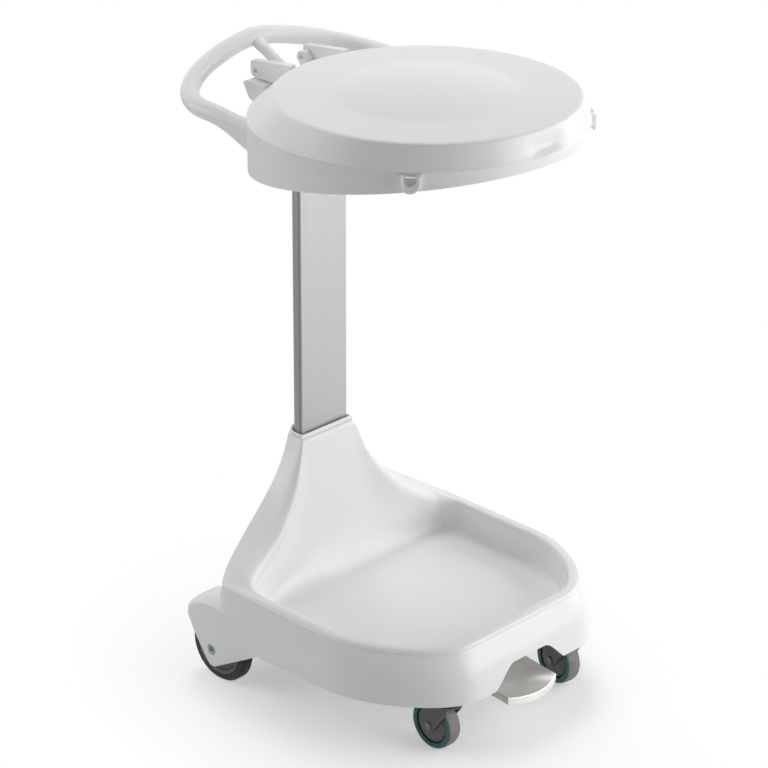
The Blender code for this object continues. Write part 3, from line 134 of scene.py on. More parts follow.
def white_plastic(name, gloss):
    """Glossy white moulded plastic with a faint drift of colour and the fine orange peel of the mould."""
    material, shader, place = finish(name, IOR=1.46)
    feed(shader, Base_Color=place.noise(5, 1).tint((0.868, 0.868, 0.868), (0.880, 0.880, 0.880)),
         Roughness=gloss + 0.02 * place.noise(30, 1), Normal=place.noise(500, 1).bump(0.00001, 0.2))
    return material


base_white = white_plastic("base_white", gloss=0.24)


def bezier(first, second, third, last, t):
    """A point on a cubic curve."""
    s = 1 - t
    return first * s ** 3 + second * (3 * s * s * t) + third * (3 * s * t * t) + last * t ** 3


def ease(t):
    """A soft step from 0 to 1."""
    t = min(max(t, 0.0), 1.0)
    return t * t * (3 - 2 * t)


def skin(rings, caps=True):
    """A mesh over closed rings of points; caps fill the first and last ring."""
    bm = bmesh.new()
    rows = [[bm.verts.new(p) for p in ring] for ring in rings]
    count = len(rows[0])
    for low, high in zip(rows, rows[1:]):
        for i in range(count):
            j = (i + 1) % count
            bm.faces.new((low[i], low[j], high[j], high[i]))
    if caps:
        bm.faces.new(rows[0][::-1])
        bm.faces.new(rows[-1])
    bmesh.ops.recalc_face_normals(bm, faces=bm.faces)
    return bm


def prism(outline, axis, low, high):
    """A straight solid along X, Y or Z over an outline of the other two coordinates."""
    slot = "XYZ".index(axis)
    return skin([[(*pair[:slot], level, *pair[slot:]) for pair in outline] for level in (low, high)])


def arc(centre, radius, start, end, steps):
    """Points on a circle between two angles in degrees."""
    angles = [radians(start + (end - start) * i / steps) for i in range(steps + 1)]
    return [(centre[0] + radius * cos(a), centre[1] + radius * sin(a)) for a in angles]


def circle(centre, radius):
    """A full circle of 24 points."""
    return arc(centre, radius, 0, 345, 23)


def mirrored(points):
    """Points of the right half carried over to the left."""
    return [Vector((-p.x, p.y, p.z)) for p in points]


def across(side, near, far):
    """A stretch of x on one side of the middle, its low end first."""
    return sorted((side * near, side * far))


def thing(name, bm, shift=(0, 0, 0)):
    """A new mesh object, moved by a shift."""
    bmesh.ops.translate(bm, verts=bm.verts, vec=shift)
    mesh = bpy.data.meshes.new(name)
    bm.to_mesh(mesh)
    bm.free()
    made = bpy.data.objects.new(name, mesh)
    bpy.context.scene.collection.objects.link(made)
    return made


def settle(made):
    """Applies a piece's modifiers to its mesh."""
    mesh = bpy.data.meshes.new_from_object(made.evaluated_get(bpy.context.evaluated_depsgraph_get()))
    made.modifiers.clear()
    made.data = mesh


def carve(made, operation, *shapes):
    """Joins shapes to a piece, or cuts them out of it."""
    for bm in shapes:
        tool = thing("tool", bm)
        step = made.modifiers.new("step", "BOOLEAN")
        step.operation = operation
        step.solver = "EXACT"
        step.object = tool
        settle(made)
        bpy.data.objects.remove(tool)


def place_piece(made, body, slot, material, *nodes, crease):
    """Gives a finished piece its material, smooth shading, body and the CAD nodes it stands for; the slot
    argument is not used.
    """
    made.data.materials.clear()
    made.data.materials.append(material)
    made.data.shade_smooth()
    split = made.modifiers.new("edges", "EDGE_SPLIT")
    split.split_angle = radians(crease)
    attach(made, body)
    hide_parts(*nodes)


# The base, the head and the lid are drawn with y counted from the column's front face, which lies at this y.
column_face = 0.139

wall = 0.004
side_end = 0.021

# Lower edge of the shell.
edge_half = 0.231
edge_front = 0.4155
edge_flat = 0.105
edge_side = 0.235
edge_back = 0.050
edge_z = 0.080
edge_lift = 0.009
lift_start = 0.100
edge_pulls = (0.0298, 0.0877)

# Flat floor of the tray.
floor_half = 0.193
floor_front = 0.357
floor_flat = 0.091
floor_side = 0.211
floor_side_end = 0.085
floor_back = 0.046
floor_z = 0.118
floor_pulls = (0.0351, 0.1156)

# Rim round the tray, with its lip tucked in below.
crest_half = 0.217
crest_front = 0.385
crest_flat = 0.098
crest_side = 0.221
rim_z = 0.168
rim_half = 0.009
rim_round = 0.0055
rim_tuck = 0.0014
rim_drop = 0.0025

# Neck with its bell, and the ramp that runs up to it from the tray.
neck_half = 0.052
neck_mid = 0.015
neck_depth = 0.024
neck_top = 0.335
neck_rim = 0.4 * neck_depth
neck_round = 0.003
bell_low = (0.181, 0.194)
bell_high = (0.082, 0.231)
foot_round = 0.022
ramp_round = 0.014
ramp_run = 0.024
ridge_growth = 0.0225
bell_ridge = 0.020
neck_ridge = 0.008
ridge_softness = 0.7


def plan(half, ahead, straight, side_start, side_stop, u):
    """A point of a tray outline: u runs 0-1 along the front, 1-2 round the corner and 2-3 along the side."""
    if u <= 1:
        return Vector((straight * u, -ahead, 0))
    if u <= 2:
        fullness = 0.46
        first = Vector((straight, -ahead, 0))
        last = Vector((half, -side_start, 0))
        return bezier(first, first + Vector((fullness * (half - straight), 0, 0)),
                      last - Vector((0, fullness * (ahead - side_start), 0)), last, u - 1)
    return Vector((half, -side_start + (side_start - side_stop) * (u - 2), 0))


def lower_edge(u):
    """The base's lower edge, lifted at the front; u runs on 3-4 to the neck and 4-5 to the middle."""
    if u <= 3:
        point = plan(edge_half, edge_front, edge_flat, edge_side, side_end, u)
        lift = edge_lift * ease((-point.y - lift_start) / (edge_front - lift_start))
        return Vector((point.x, point.y, edge_z + lift))
    corner = Vector((neck_half, edge_back, edge_z))
    if u <= 4:
        first = Vector((edge_half, -side_end, edge_z))
        return bezier(first, first + Vector((0, edge_pulls[0], 0)),
                      corner + Vector((edge_pulls[1], 0, 0)), corner, u - 3)
    return Vector((neck_half * (5 - u), edge_back, edge_z))


def floor_edge(u):
    """The edge of the tray's flat floor."""
    if u <= 3:
        point = plan(floor_half, floor_front, floor_flat, floor_side, floor_side_end, u)
        return point + Vector((0, 0, floor_z))
    corner = Vector((neck_half, -floor_back, floor_z))
    if u <= 4:
        first = Vector((floor_half, -floor_side_end, floor_z))
        return bezier(first, first + Vector((0, floor_pulls[0], 0)),
                      corner + Vector((floor_pulls[1], 0, 0)), corner, 1 - (4 - u) ** 1.5)
    return Vector((neck_half * (5 - u), -floor_back, floor_z))


def crest(u):
    """The rim's crest, which climbs the bell of the neck to the collar."""
    if u <= 3:
        return plan(crest_half, crest_front, crest_flat, crest_side, side_end, u) + Vector((0, 0, rim_z))
    if u <= 4:
        low = Vector((bell_low[0], neck_mid, bell_low[1]))
        high = Vector((bell_high[0], neck_mid, bell_high[1]))
        return bezier(Vector((crest_half, -side_end, rim_z)), low, high,
                      Vector((neck_half, neck_mid, neck_top)), u - 3)
    return Vector((neck_half * (5 - u), neck_mid, neck_top))


nudge = 1e-3


def into_tray(u):
    """Direction from the rim into the tray, turning from sideways to forwards as the rim climbs the neck."""
    if u > 2:
        turn = radians(26) * ease((u - 2.5) / 0.6) + radians(64) * ease((u - 3.3) / 0.52)
        return Vector((-cos(turn), -sin(turn), 0))
    along = crest(u + nudge) - crest(max(u - nudge, 0))
    return Vector((-along.y, along.x, 0)).normalized()


# The ridge between the tray's wall and the rim's top: u, then x, y and z of the places that it goes through.
ridge_line = [(2.25, 0.2080, -0.171, 0.1680), (2.5, 0.2080, -0.121, 0.1680), (2.75, 0.2077, -0.097, 0.1687),
              (3.0, 0.2045, -0.0745, 0.1725), (3.2, 0.1880, -0.0530, 0.1860), (3.4, 0.1510, -0.0372, 0.2080),
              (3.6, 0.1122, -0.0305, 0.2385), (3.8, 0.0768, -0.0185, 0.2800), (4.0, 0.0520, -0.0090, 0.3350),
              (4.2, 0.0416, -0.0090, 0.3350)]


def flank(u):
    """A point of the ridge, which climbs the corner of the neck on one smooth curve."""
    if u <= 2.5:
        return crest(u) + into_tray(u) * rim_half
    if u >= 4:
        return Vector((neck_half * (5 - u), neck_mid - neck_depth, neck_top))
    i = max(k for k in range(1, len(ridge_line) - 2) if ridge_line[k][0] <= u)
    spots = [Vector(spot[1:]) for spot in ridge_line[i - 1:i + 3]]
    before, first, last, after = [spot[0] for spot in ridge_line[i - 1:i + 3]]
    span = last - first
    leave = (spots[2] - spots[0]) * (span / (last - before))
    arrive = (spots[3] - spots[1]) * (span / (after - first))
    return bezier(spots[1], spots[1] + leave / 3, spots[2] - arrive / 3, spots[2], (u - first) / span)


def ridge_round(ridge, peak, heel, ramp, size):
    """Where the round over the ridge starts on the tray's wall and where it ends on the rim's top."""
    down_wall = Vector((0, 0, -1)).lerp((heel - ridge).normalized(), ramp).normalized()
    shelf = peak - ridge
    return ridge + size * down_wall, ridge + shelf * min(size / shelf.length, 0.9)


def base_section(u):
    """One section of the base's skin, from the tray floor over the rim to the lower edge."""
    up = Vector((0, 0, 1))
    peak = crest(u)
    inward = into_tray(u)
    outward, half, bead = up, rim_half, rim_round
    if 3 < u < 4:
        slope = crest(u + nudge) - crest(u - nudge)
        neck_side = Vector((slope.z, 0, -slope.x)).normalized()
        grown = 1 - (4 - u) ** 2
        outward = up.lerp(neck_side, ease((u - 3) / 0.6)).normalized()
        half = rim_half + (neck_rim - rim_half) * grown
        bead = rim_round + (neck_round - rim_round) * grown
    elif u >= 4:
        outward = Vector((1, 0, 1)).normalized() if u == 4 else up
        half = max(neck_depth * (1 - (5 - u) ** 2.5) ** 0.4, neck_rim)
        bead = neck_round
    turns = [radians(90) * i / 6 for i in range(7)]
    outer = [peak - inward * (half - bead + bead * sin(a)) - outward * bead * (1 - cos(a)) for a in turns]
    tuck = rim_tuck * (1 - ease((u - 2.6) / 0.5))
    outer.append(outer[-1] + inward * tuck - outward * rim_drop)

    # The tray's wall lies back into a ramp on its way to the neck, and the ridge over it grows softer.
    ramp = ease((u - 2.6) / 0.8)
    foot = floor_edge(u) + inward * ramp_run * ramp
    heel = foot - inward * (foot_round + ramp_round * ramp)
    reach = rim_round + ridge_growth * ease((u - 2.5) / 0.7)
    if u > 3.3:
        reach = neck_ridge + bell_ridge * (1 - ease((u - 3.4) / 0.6))
    soft = 1 + ridge_softness * ease((u - 2.9) / 0.5) * (1 - ease((u - 3.75) / 0.25))
    ridge = flank(u)
    low, high = ridge_round(ridge, peak, heel, ramp, reach)
    ridge = ridge + (soft - 1) * 0.5 * (ridge - 0.5 * (low + high))
    low, high = ridge_round(ridge, peak, heel, ramp, soft * reach)
    shares = [i / 8 for i in range(9)]
    inner = [low * (1 - t) ** 2 + ridge * 2 * t * (1 - t) + high * t * t for t in shares]
    upper = (low - 0.55 * (low.z - foot.z) * up).lerp(low.lerp(heel, 0.5), ramp)
    rise = [bezier(foot, heel, upper, low, t / 9) for t in range(9)]

    edge = lower_edge(u)
    drop = Vector((0, 0, outer[-1].z - edge.z))
    flare = Vector((edge.x - outer[-1].x, edge.y - outer[-1].y, 0))
    skirt = [bezier(outer[-1], outer[-1] + 0.5 * flare - 0.2 * drop, edge + 0.55 * drop, edge, t / 8)
             for t in range(1, 9)]
    return rise + inner + outer + skirt


section_counts = [(0, 5), (1, 18), (2, 12), (3, 26), (4, 8)]
stations = [first + i / count for first, count in section_counts for i in range(count)] + [5]
right_sections = [base_section(u) for u in stations]
sections = right_sections + [mirrored(section) for section in right_sections[-2:0:-1]]
shell = skin([[section[k] for section in sections] for k in range(len(sections[0]))], caps=False)
shell.verts.ensure_lookup_table()
shell.faces.new(shell.verts[:len(sections)])
bmesh.ops.recalc_face_normals(shell, faces=shell.faces)
base = thing("base_shell", shell)
if max(base.data.polygons, key=lambda face: len(face.vertices)).normal.z < 0:
    base.data.flip_normals()
thick = base.modifiers.new("wall", "SOLIDIFY")
thick.thickness = wall
thick.offset = -1
thick.use_even_offset = True
settle(base)

# Wheel hoods with their wells, the bosses for the casters, the column's seat and the toe arch.
axle = (0.0, 0.055)
axle_bore = 0.0043
bore_start = 0.17
bolt_bore = 0.0083
bolt_seat = 0.2295
past_hood = 0.25
hood_face = 0.2325
hood_root = 0.1825
hood_radius = 0.070
hood_middle = (-0.015, 0.085)
crown_rise = 0.011
crown_run = 0.028
front_sink = 0.005
well_outer = 0.2255
well_inner = 0.1915
well_radius = 0.066
well_back = 0.136
well_front = -0.090
below_floor = -0.01


def hood_ring(side, x, radius, scale=1.0):
    """The hood's side view at one distance out; ahead of the wheel its face sinks into the wall."""
    below = [(0.0505, 0.098), (0.039, 0.075), (0.010, 0.035), (0.003, 0.029),
             (-0.006, 0.029), (-0.050, 0.0537), (-0.094, 0.0785), (-0.094, 0.105)]
    ring = []
    for y, z in arc(axle, radius, 115, 47, 22) + below:
        y = hood_middle[0] + scale * (y - hood_middle[0])
        z = hood_middle[1] + scale * (z - hood_middle[1])
        ring.append((side * (x - front_sink * ease((-y - 0.020) / 0.070)), y, z))
    return ring


crown_turns = [radians(9 * i) for i in range(11)]
crown = [(hood_face - crown_run * (1 - cos(a)), hood_radius + crown_rise * sin(a)) for a in crown_turns]
hood_levels = [(hood_root, hood_radius + crown_rise)] + crown[::-1]
over_wheel = arc(axle, well_radius, 0, 110, 24)
well = [(well_back, below_floor), (well_back, axle[1])] + over_wheel
well += [(well_front, over_wheel[-1][1] - 0.006), (well_front, below_floor)]
caster_x = 0.128
caster_y = -0.375
boss_radius = 0.012
boss_low = 0.0895
boss_top = 0.1245
stem_bore = 0.0058
stem_top = 0.1198
for side in (-1, 1):
    hood = [hood_ring(side, x, radius) for x, radius in hood_levels]
    hood += [hood_ring(side, hood_face, hood_radius, scale) for scale in (0.7, 0.4, 0.1)]
    carve(base, "UNION", skin(hood))
    carve(base, "DIFFERENCE", prism(well, "X", *across(side, well_inner, well_outer)),
          prism(circle(axle, axle_bore), "X", *across(side, bore_start, past_hood)),
          prism(circle(axle, bolt_bore), "X", *across(side, bolt_seat, past_hood)))
    stem = (side * caster_x, caster_y)
    carve(base, "UNION", prism(circle(stem, boss_radius), "Z", boss_low, boss_top))
    carve(base, "DIFFERENCE", prism(circle(stem, stem_bore), "Z", edge_z, stem_top))
seat_half = 0.090
seat_front = -0.038
seat_back = 0.048
seat_low = 0.122
seat_top = 0.128
column_seat = [(-seat_half, seat_front), (seat_half, seat_front),
               (seat_half, seat_back), (-seat_half, seat_back)]
carve(base, "UNION", prism(column_seat, "Z", seat_low, seat_top))


def around_column(gap):
    """The column's section in plan, grown by an even gap."""
    column_half, column_bend, bend_centre = 0.045, 0.021, (0.024, 0.009)
    right = [(column_half + gap, -gap)] + arc(bend_centre, column_bend + gap, 0, 90, 10)
    return right + [(-x, y) for x, y in right[::-1]]


toe_flat = 0.031
toe_run = 0.0575
toe_top = 0.120
toe_drop = 0.040
toe_foot = 0.070
toe_front = -0.436
toe_back = -0.371
toe_side = [(toe_flat + toe_run * i / 16, toe_top - toe_drop * ease(i / 16)) for i in range(17)]
toe_side.append((toe_flat + toe_run, toe_foot))
toe_arch = toe_side + [(-x, z) for x, z in toe_side[::-1]]
snug_gap = 0.0003
collar_gap = 0.0026
column_foot = 0.132
collar_foot = 0.310
above_neck = 0.355
rod_bore = 0.0058
below_seat = 0.112
above_seat = 0.138
carve(base, "DIFFERENCE", prism(toe_arch, "Y", toe_front, toe_back),
      prism(around_column(snug_gap), "Z", column_foot, above_neck),
      prism(around_column(collar_gap), "Z", collar_foot, above_neck),
      prism(circle((0, neck_mid), rod_bore), "Z", below_seat, above_seat))
base.data.transform(Matrix.Translation((0, column_face, 0)))
place_piece(base, "holder", "white_abs", base_white, "base_moulding", crease=40)

# Column: an extruded aluminium section, satin anodised, with fine brushing along its length.
# It stands on the seat inside the base's neck, held by screws, and carries the head at its top.


def dress(material, *nodes, crease=35):
    """Gives CAD nodes a material and smooth shading that breaks at their real edges."""
    for name in nodes:
        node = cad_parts[name]
        node.data.materials.clear()
        node.data.materials.append(material)
        node.data.shade_smooth()
        weld = node.modifiers.new("weld", "WELD")
        weld.merge_threshold = 1e-5
        split = node.modifiers.new("edges", "EDGE_SPLIT")
        split.split_angle = radians(crease)


satin, satin_shader, satin_place = finish("brushed_aluminium", Metallic=1.0)
fine = satin_place.noise(1.0, 2, (1700, 1700, 3.0))
broad = satin_place.noise(1.0, 2, (260, 260, 0.8))
feed(satin_shader, Base_Color=(0.6 * fine + 0.4 * broad).tint((0.44, 0.44, 0.445), (0.54, 0.54, 0.545)),
     Roughness=0.30 + 0.16 * fine, Normal=fine.bump(0.00004, 0.5))
dress(satin, "column")

# Collar and guides: the white trim ring that closes the neck round the column, and the uncoloured nylon
# plugs pressed into both ends of the column, which guide the lift rod. The rod's foot is the same nylon.

collar_white = white_plastic("collar_white", gloss=0.24)
collar_profile = [(collar_gap, 0.3353), (0.0060, 0.3353), (0.0062, 0.3385), (0.0058, 0.3403),
                  (0.0050, 0.3412), (0.0041, 0.3412), (0.0032, 0.3402), (0.0027, 0.3385)]
collar_rings = [[(x, y, z) for x, y in around_column(gap)] for gap, z in collar_profile]
collar = thing("collar_lip", skin([*collar_rings, collar_rings[0]], caps=False), (0, column_face, 0))
place_piece(collar, "holder", "white_abs", collar_white, "column_collar", crease=50)
nylon, nylon_shader, nylon_place = finish("natural_nylon", Subsurface_Weight=0.06)
feed(nylon_shader, Base_Color=nylon_place.noise(60, 3).tint((0.66, 0.65, 0.60), (0.76, 0.75, 0.70)),
     Roughness=0.42 + 0.12 * nylon_place.noise(180, 2), Normal=nylon_place.noise(900, 2).bump(0.00008, 0.4))
dress(nylon, "rod_guide_lower", "rod_guide_upper", "rod_foot")

# Head moulding: the sack ring with its slanted lower edge, the socket over the column, the hinge knuckles,
# the sack hooks and the push handle, all one white moulding screwed to the column's top.
# The handle's bar and the lips of the hooks lie over the solid, rounder than it has them.

head_white = white_plastic("head_white", gloss=0.285)
dress(head_white, "head_moulding", crease=38)


def head_trim(name, rings):
    """A smooth piece that is one with the head moulding."""
    made = thing(name, skin(rings), (0, column_face, 0))
    made.data.materials.append(head_white)
    made.data.shade_smooth()
    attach(made, "holder")


handle_root = Vector((0.174, -0.0692, 0.839))
handle_corner = Vector((0.178, 0.045, 0.858))
handle_crown = Vector((0, 0.14507, 0.9045))
root_tall = 0.0263
root_wide = 0.0093
bar_tall = 0.0132
bar_wide = 0.0134
crown_slope = 0.139
crown_reach = 0.035
crown_inset = Vector((0, 0.0016, 0.00198))


def handle_line(t):
    """Middle of the handle on the right: t runs 0-1 along the arm and 1-2 round to the crown."""
    if t <= 1:
        lead = Vector((0, 0.04, 0))
        return bezier(handle_root, handle_root + lead, handle_corner - lead, handle_corner, t)
    leave = handle_corner + Vector((0, 0.07405, 0.00093))
    arrive = handle_crown + Vector((0.11036, 0, -0.01535))
    place = bezier(handle_corner, leave, arrive, handle_crown, t - 1)
    fill = crown_slope * place.x * exp(-place.x / crown_reach)
    return place + Vector((0, 0, fill))


def fuller(value, power):
    """A cosine or sine made fuller by a power below 1, which turns a round section squarish."""
    return abs(value) ** power * (1 if value > 0 else -1)


half_steps = [i / 24 for i in range(48)]
right_line = [handle_line(t) for t in half_steps] + [handle_line(2)]
handle_path = right_line + mirrored(right_line[-2::-1])
handle_steps = half_steps + [2] + half_steps[::-1]
round_turns = [2 * pi * k / 28 for k in range(28)]
handle_rings = []
for i, (t, middle) in enumerate(zip(handle_steps, handle_path)):
    along = (handle_path[min(i + 1, len(handle_path) - 1)] - handle_path[max(i - 1, 0)]).normalized()
    sideways = along.cross(Vector((0, 0, 1))).normalized()
    upward = sideways.cross(along).normalized()
    turned = ease(min(t, 1))
    tall = root_tall + (bar_tall - root_tall) * (1 - (1 - turned) ** 2)
    wide = root_wide + (bar_wide - root_wide) * turned
    power = 0.55 + 0.45 * turned
    middle = middle - crown_inset * ease(t - 1)
    handle_rings.append([middle + sideways * wide * fuller(cos(a), power)
                         + upward * tall * fuller(sin(a), power) for a in round_turns])
head_trim("handle_skin", handle_rings)

ring_y = -0.192
hook_turn = radians(50)
hook_reach = 0.2358
hook_half = 0.0118
hook_foot = 0.8528
hook_top = 0.8635
leg_foot = 0.8535
leg_step = 0.001
lip_half = 0.0024
lip_depth = 0.0017
hook_path = [(hook_half, hook_top - leg_step * i) for i in range(11)]
hook_path += arc((0, hook_foot), hook_half, -8, -172, 20)
hook_path += [(-hook_half, leg_foot + leg_step * i) for i in range(11)]
lip_turns = [radians(30 * k) for k in range(12)]
for side, word in ((-1, "left"), (1, "right")):
    outward = Vector((side * sin(hook_turn), -cos(hook_turn), 0))
    sideways = Vector((-outward.y, outward.x, 0))
    lip_rings = []
    for i, (offset, z) in enumerate(hook_path):
        before = hook_path[max(i - 1, 0)]
        after = hook_path[min(i + 1, len(hook_path) - 1)]
        along = Vector((after[0] - before[0], after[1] - before[1])).normalized()
        over = sideways * -along.y + Vector((0, 0, along.x))
        middle = Vector((0, ring_y, z)) + outward * hook_reach + sideways * offset
        lip_rings.append([middle + over * lip_half * cos(a) + outward * lip_depth * sin(a)
                          for a in lip_turns])
    head_trim(f"hook_lip_{word}", lip_rings)

# Lid: a white domed disc with a soft step round its crown, moulded in one with its two hinge lugs.
# It turns on steel pins at the back of the ring, and a dent at its front takes the fingers.

lid_white = white_plastic("lid_white", gloss=0.285)
hinge = (0.0765, 0.880)
lid_low = 0.8655
lid_top = 0.9015
lid_radius = 0.2295
top_radius = 0.2095
top_forward = 0.010
dome_radius = 0.129
dome_rise = 0.0122
dent_depth = 0.0085
dent_half = radians(11)
back_flare = 0.009
lug_near = 0.0453
lug_far = 0.057
lug_radius = 0.0100
pin_bore = 0.0033
lid_steps = 180


def lid_level(radius, z):
    """One level of the lid: set forward as it rises, flared at the back, drawn in at the front."""
    up = z - lid_low
    height = min(max(up / (lid_top - lid_low), 0), 1)
    dent_rise = 0.04 + 0.96 * ease(up / 0.013)
    dent_fall = 1 - ease((up - 0.012) / 0.018)
    ring = []
    for i in range(lid_steps):
        angle = 2 * pi * i / lid_steps
        from_front = min(angle, 2 * pi - angle)
        dent_share = 1 - ease((from_front / dent_half - 0.2) / 0.8)
        dent = dent_depth * dent_share * dent_rise * dent_fall
        flare = max(back_flare * ease((from_front - radians(70)) / radians(55)) - 0.0006, 0)
        reach = radius - dent + flare * (1 - height)
        ring.append((sin(angle) * reach, ring_y - top_forward * height - cos(angle) * reach, z))
    return ring


foot_bead = [(lid_radius, lid_low), (lid_radius + 0.0003, lid_low + 0.0008),
             (lid_radius - 0.0002, lid_low + 0.0019)]
wall_foot = (lid_radius - 0.0012, lid_low + 0.003)
wall_head = (top_radius + 0.0024, lid_top - 0.0036)
cone = [tuple(a + (b - a) * i / 8 for a, b in zip(wall_foot, wall_head)) for i in range(9)]
bend_turns = [radians(18 + 9 * i) for i in range(1, 9)]
bend = [(top_radius - 0.0052 + 0.0078 * cos(a), lid_top - 0.0044 + 0.0044 * sin(a)) for a in bend_turns]
top = [(top_radius - 0.012, lid_top + 0.0001), (0.5 * (top_radius + dome_radius), lid_top + 0.0006),
       (dome_radius + 0.006, lid_top + 0.0010)]
dome_shares = (0.985, 0.95, 0.9, 0.8, 0.65, 0.5, 0.3, 0.1)
dome = [(dome_radius * s, lid_top + 0.0012 + dome_rise * (1 - s * s)) for s in dome_shares]
inside = [(lid_radius - 0.0035, lid_low), (top_radius + 0.005, lid_top - 0.016),
          (top_radius - 0.003, lid_top - 0.006), (top_radius - 0.012, lid_top - 0.003),
          (dome_radius, lid_top - 0.002), (0.7 * dome_radius, lid_top + 0.004),
          (0.1 * dome_radius, lid_top + 0.010)]
lid_levels = inside[::-1] + foot_bead + cone + bend + top + dome
lid = thing("lid_shell", skin([lid_level(*level) for level in lid_levels]))
lug = [(0.0075, 0.8835), (0.0075, 0.9025), (hinge[0] + 0.0080, hinge[1] + 0.0138),
       (hinge[0] + 0.0095, hinge[1] + 0.0125)]
lug += arc(hinge, lug_radius, -4, -90, 8) + [(0.0375, hinge[1] - lug_radius)]
for side in (-1, 1):
    carve(lid, "UNION", prism(lug, "X", *across(side, lug_near, lug_far)))
    carve(lid, "DIFFERENCE", prism(circle(hinge, pin_bore), "X", *across(side, 0.03, 0.07)))
lid.data.transform(Matrix.Translation((0, column_face, 0)))
place_piece(lid, "lid", "white_abs", lid_white, "lid", crease=38)

# Plated steel: pins, screws, crank, lift rod, pedal arm and bracket, turned or bent from steel rod and strip.
# All are plated with bright zinc, which leaves a faint spangle.

zinc, zinc_shader, zinc_place = finish("zinc_steel", Metallic=1.0)
spangle = zinc_place.noise(170, 3)
feed(zinc_shader, Base_Color=spangle.tint((0.50, 0.53, 0.55), (0.66, 0.68, 0.70)),
     Roughness=0.26 + 0.20 * spangle, Normal=zinc_place.noise(700, 2).bump(0.00004, 0.5))
steel_nodes = [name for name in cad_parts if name.startswith((
    "column_screw", "head_screw", "hinge_pin", "hook_pin", "lid_crank", "crank_", "lift_rod", "rod_head",
    "pedal_arm", "pedal_bracket", "pedal_pivot", "bracket_screw", "rear_axle_nut", "caster_stem"))]
dress(zinc, *steel_nodes)

# Pedal: a plate of folded stainless sheet, brushed across and dulled on top by shoes.
# It is fixed to the front end of the pedal arm, below the toe arch.

sheet, sheet_shader, sheet_place = finish("pedal_sheet", Metallic=0.9)
brush = sheet_place.noise(1.0, 2, (14, 1300, 1300))
worn = sheet_place.noise(34, 4).ramp(0.42, 0.66)
feed(sheet_shader, Base_Color=(0.5 * brush + 0.5 * worn).tint((0.80, 0.785, 0.755), (0.93, 0.915, 0.885)),
     Roughness=0.34 + 0.14 * brush + 0.10 * worn, Normal=brush.bump(0.00004, 0.5))
dress(sheet, "pedal_plate")

# Rear wheels: a black rubber tyre on a dark moulded hub. Each turns on a plated bolt that goes in through
# the hood's face, where its round head with a hexagon socket sits flush.

rubber, rubber_shader, rubber_place = finish("black_rubber")
dust = rubber_place.noise(55, 4).ramp(0.45, 0.75)
feed(rubber_shader, Base_Color=dust.tint((0.006, 0.006, 0.0065), (0.018, 0.018, 0.018)),
     Roughness=0.46 + 0.2 * dust, Normal=rubber_place.noise(800, 3).bump(0.0002, 0.4))
dress(rubber, "rear_tyre_left", "rear_tyre_right")
hub_grey, hub_shader, hub_place = finish("hub_grey")
feed(hub_shader, Base_Color=hub_place.noise(90, 3).tint((0.105, 0.105, 0.110), (0.160, 0.160, 0.168)),
     Roughness=0.30 + 0.15 * hub_place.noise(160, 2), Normal=hub_place.noise(1100, 2).bump(0.0001, 0.4))
dress(hub_grey, "rear_hub_left", "rear_hub_right")

bolt_zinc, bolt_shader, bolt_place = finish("bolt_zinc", Metallic=1.0)
plated = bolt_place.noise(240, 3)
feed(bolt_shader, Base_Color=plated.tint((0.24, 0.30, 0.32), (0.36, 0.42, 0.44)),
     Roughness=0.28 + 0.18 * plated, Normal=bolt_place.noise(800, 2).bump(0.00003, 0.5))
shank_radius = 0.0040
head_height = 0.0028
head_chamfer = 0.0006
socket_dish = 0.0004
socket_depth = 0.0022
disc = circle((0, 0), 1.0)
hexagon = []
for i, (x, y) in enumerate(disc):
    overshoot = max(abs(cos(radians(15 * i) - radians(60 * k))) for k in range(6))
    hexagon.append((x * 0.8660 / overshoot, y * 0.8660 / overshoot))
for side, word in ((-1, "left"), (1, "right")):
    low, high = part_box(f"rear_axle_bolt_{word}")
    tip, face = sorted((abs(low.x), abs(high.x)))
    axle_y, axle_z = 0.5 * (low.y + high.y), 0.5 * (low.z + high.z)
    head_radius = 0.5 * (high.z - low.z)
    levels = [(disc, shank_radius - 0.0002, tip), (disc, shank_radius, tip + 0.001),
              (disc, shank_radius, face - head_height), (disc, head_radius, face - head_height),
              (disc, head_radius, face - head_chamfer), (disc, head_radius - head_chamfer, face),
              (disc, 0.62 * head_radius, face), (disc, 0.58 * head_radius, face - socket_dish),
              (hexagon, 0.50 * head_radius, face - socket_dish),
              (hexagon, 0.46 * head_radius, face - socket_depth)]
    bolt = thing(f"axle_bolt_{word}", skin([[(side * x, axle_y + r * a, axle_z + r * b) for a, b in shape]
                                            for shape, r, x in levels]))
    place_piece(bolt, "holder", "zinc_steel", bolt_zinc, f"rear_axle_bolt_{word}", crease=30)

# Casters: a dark grey moulded fork and hub disc, a teal rim ring and a grey non-marking tread.
# Each swivels on its plated stem in the base's boss and rolls on a dark steel axle.

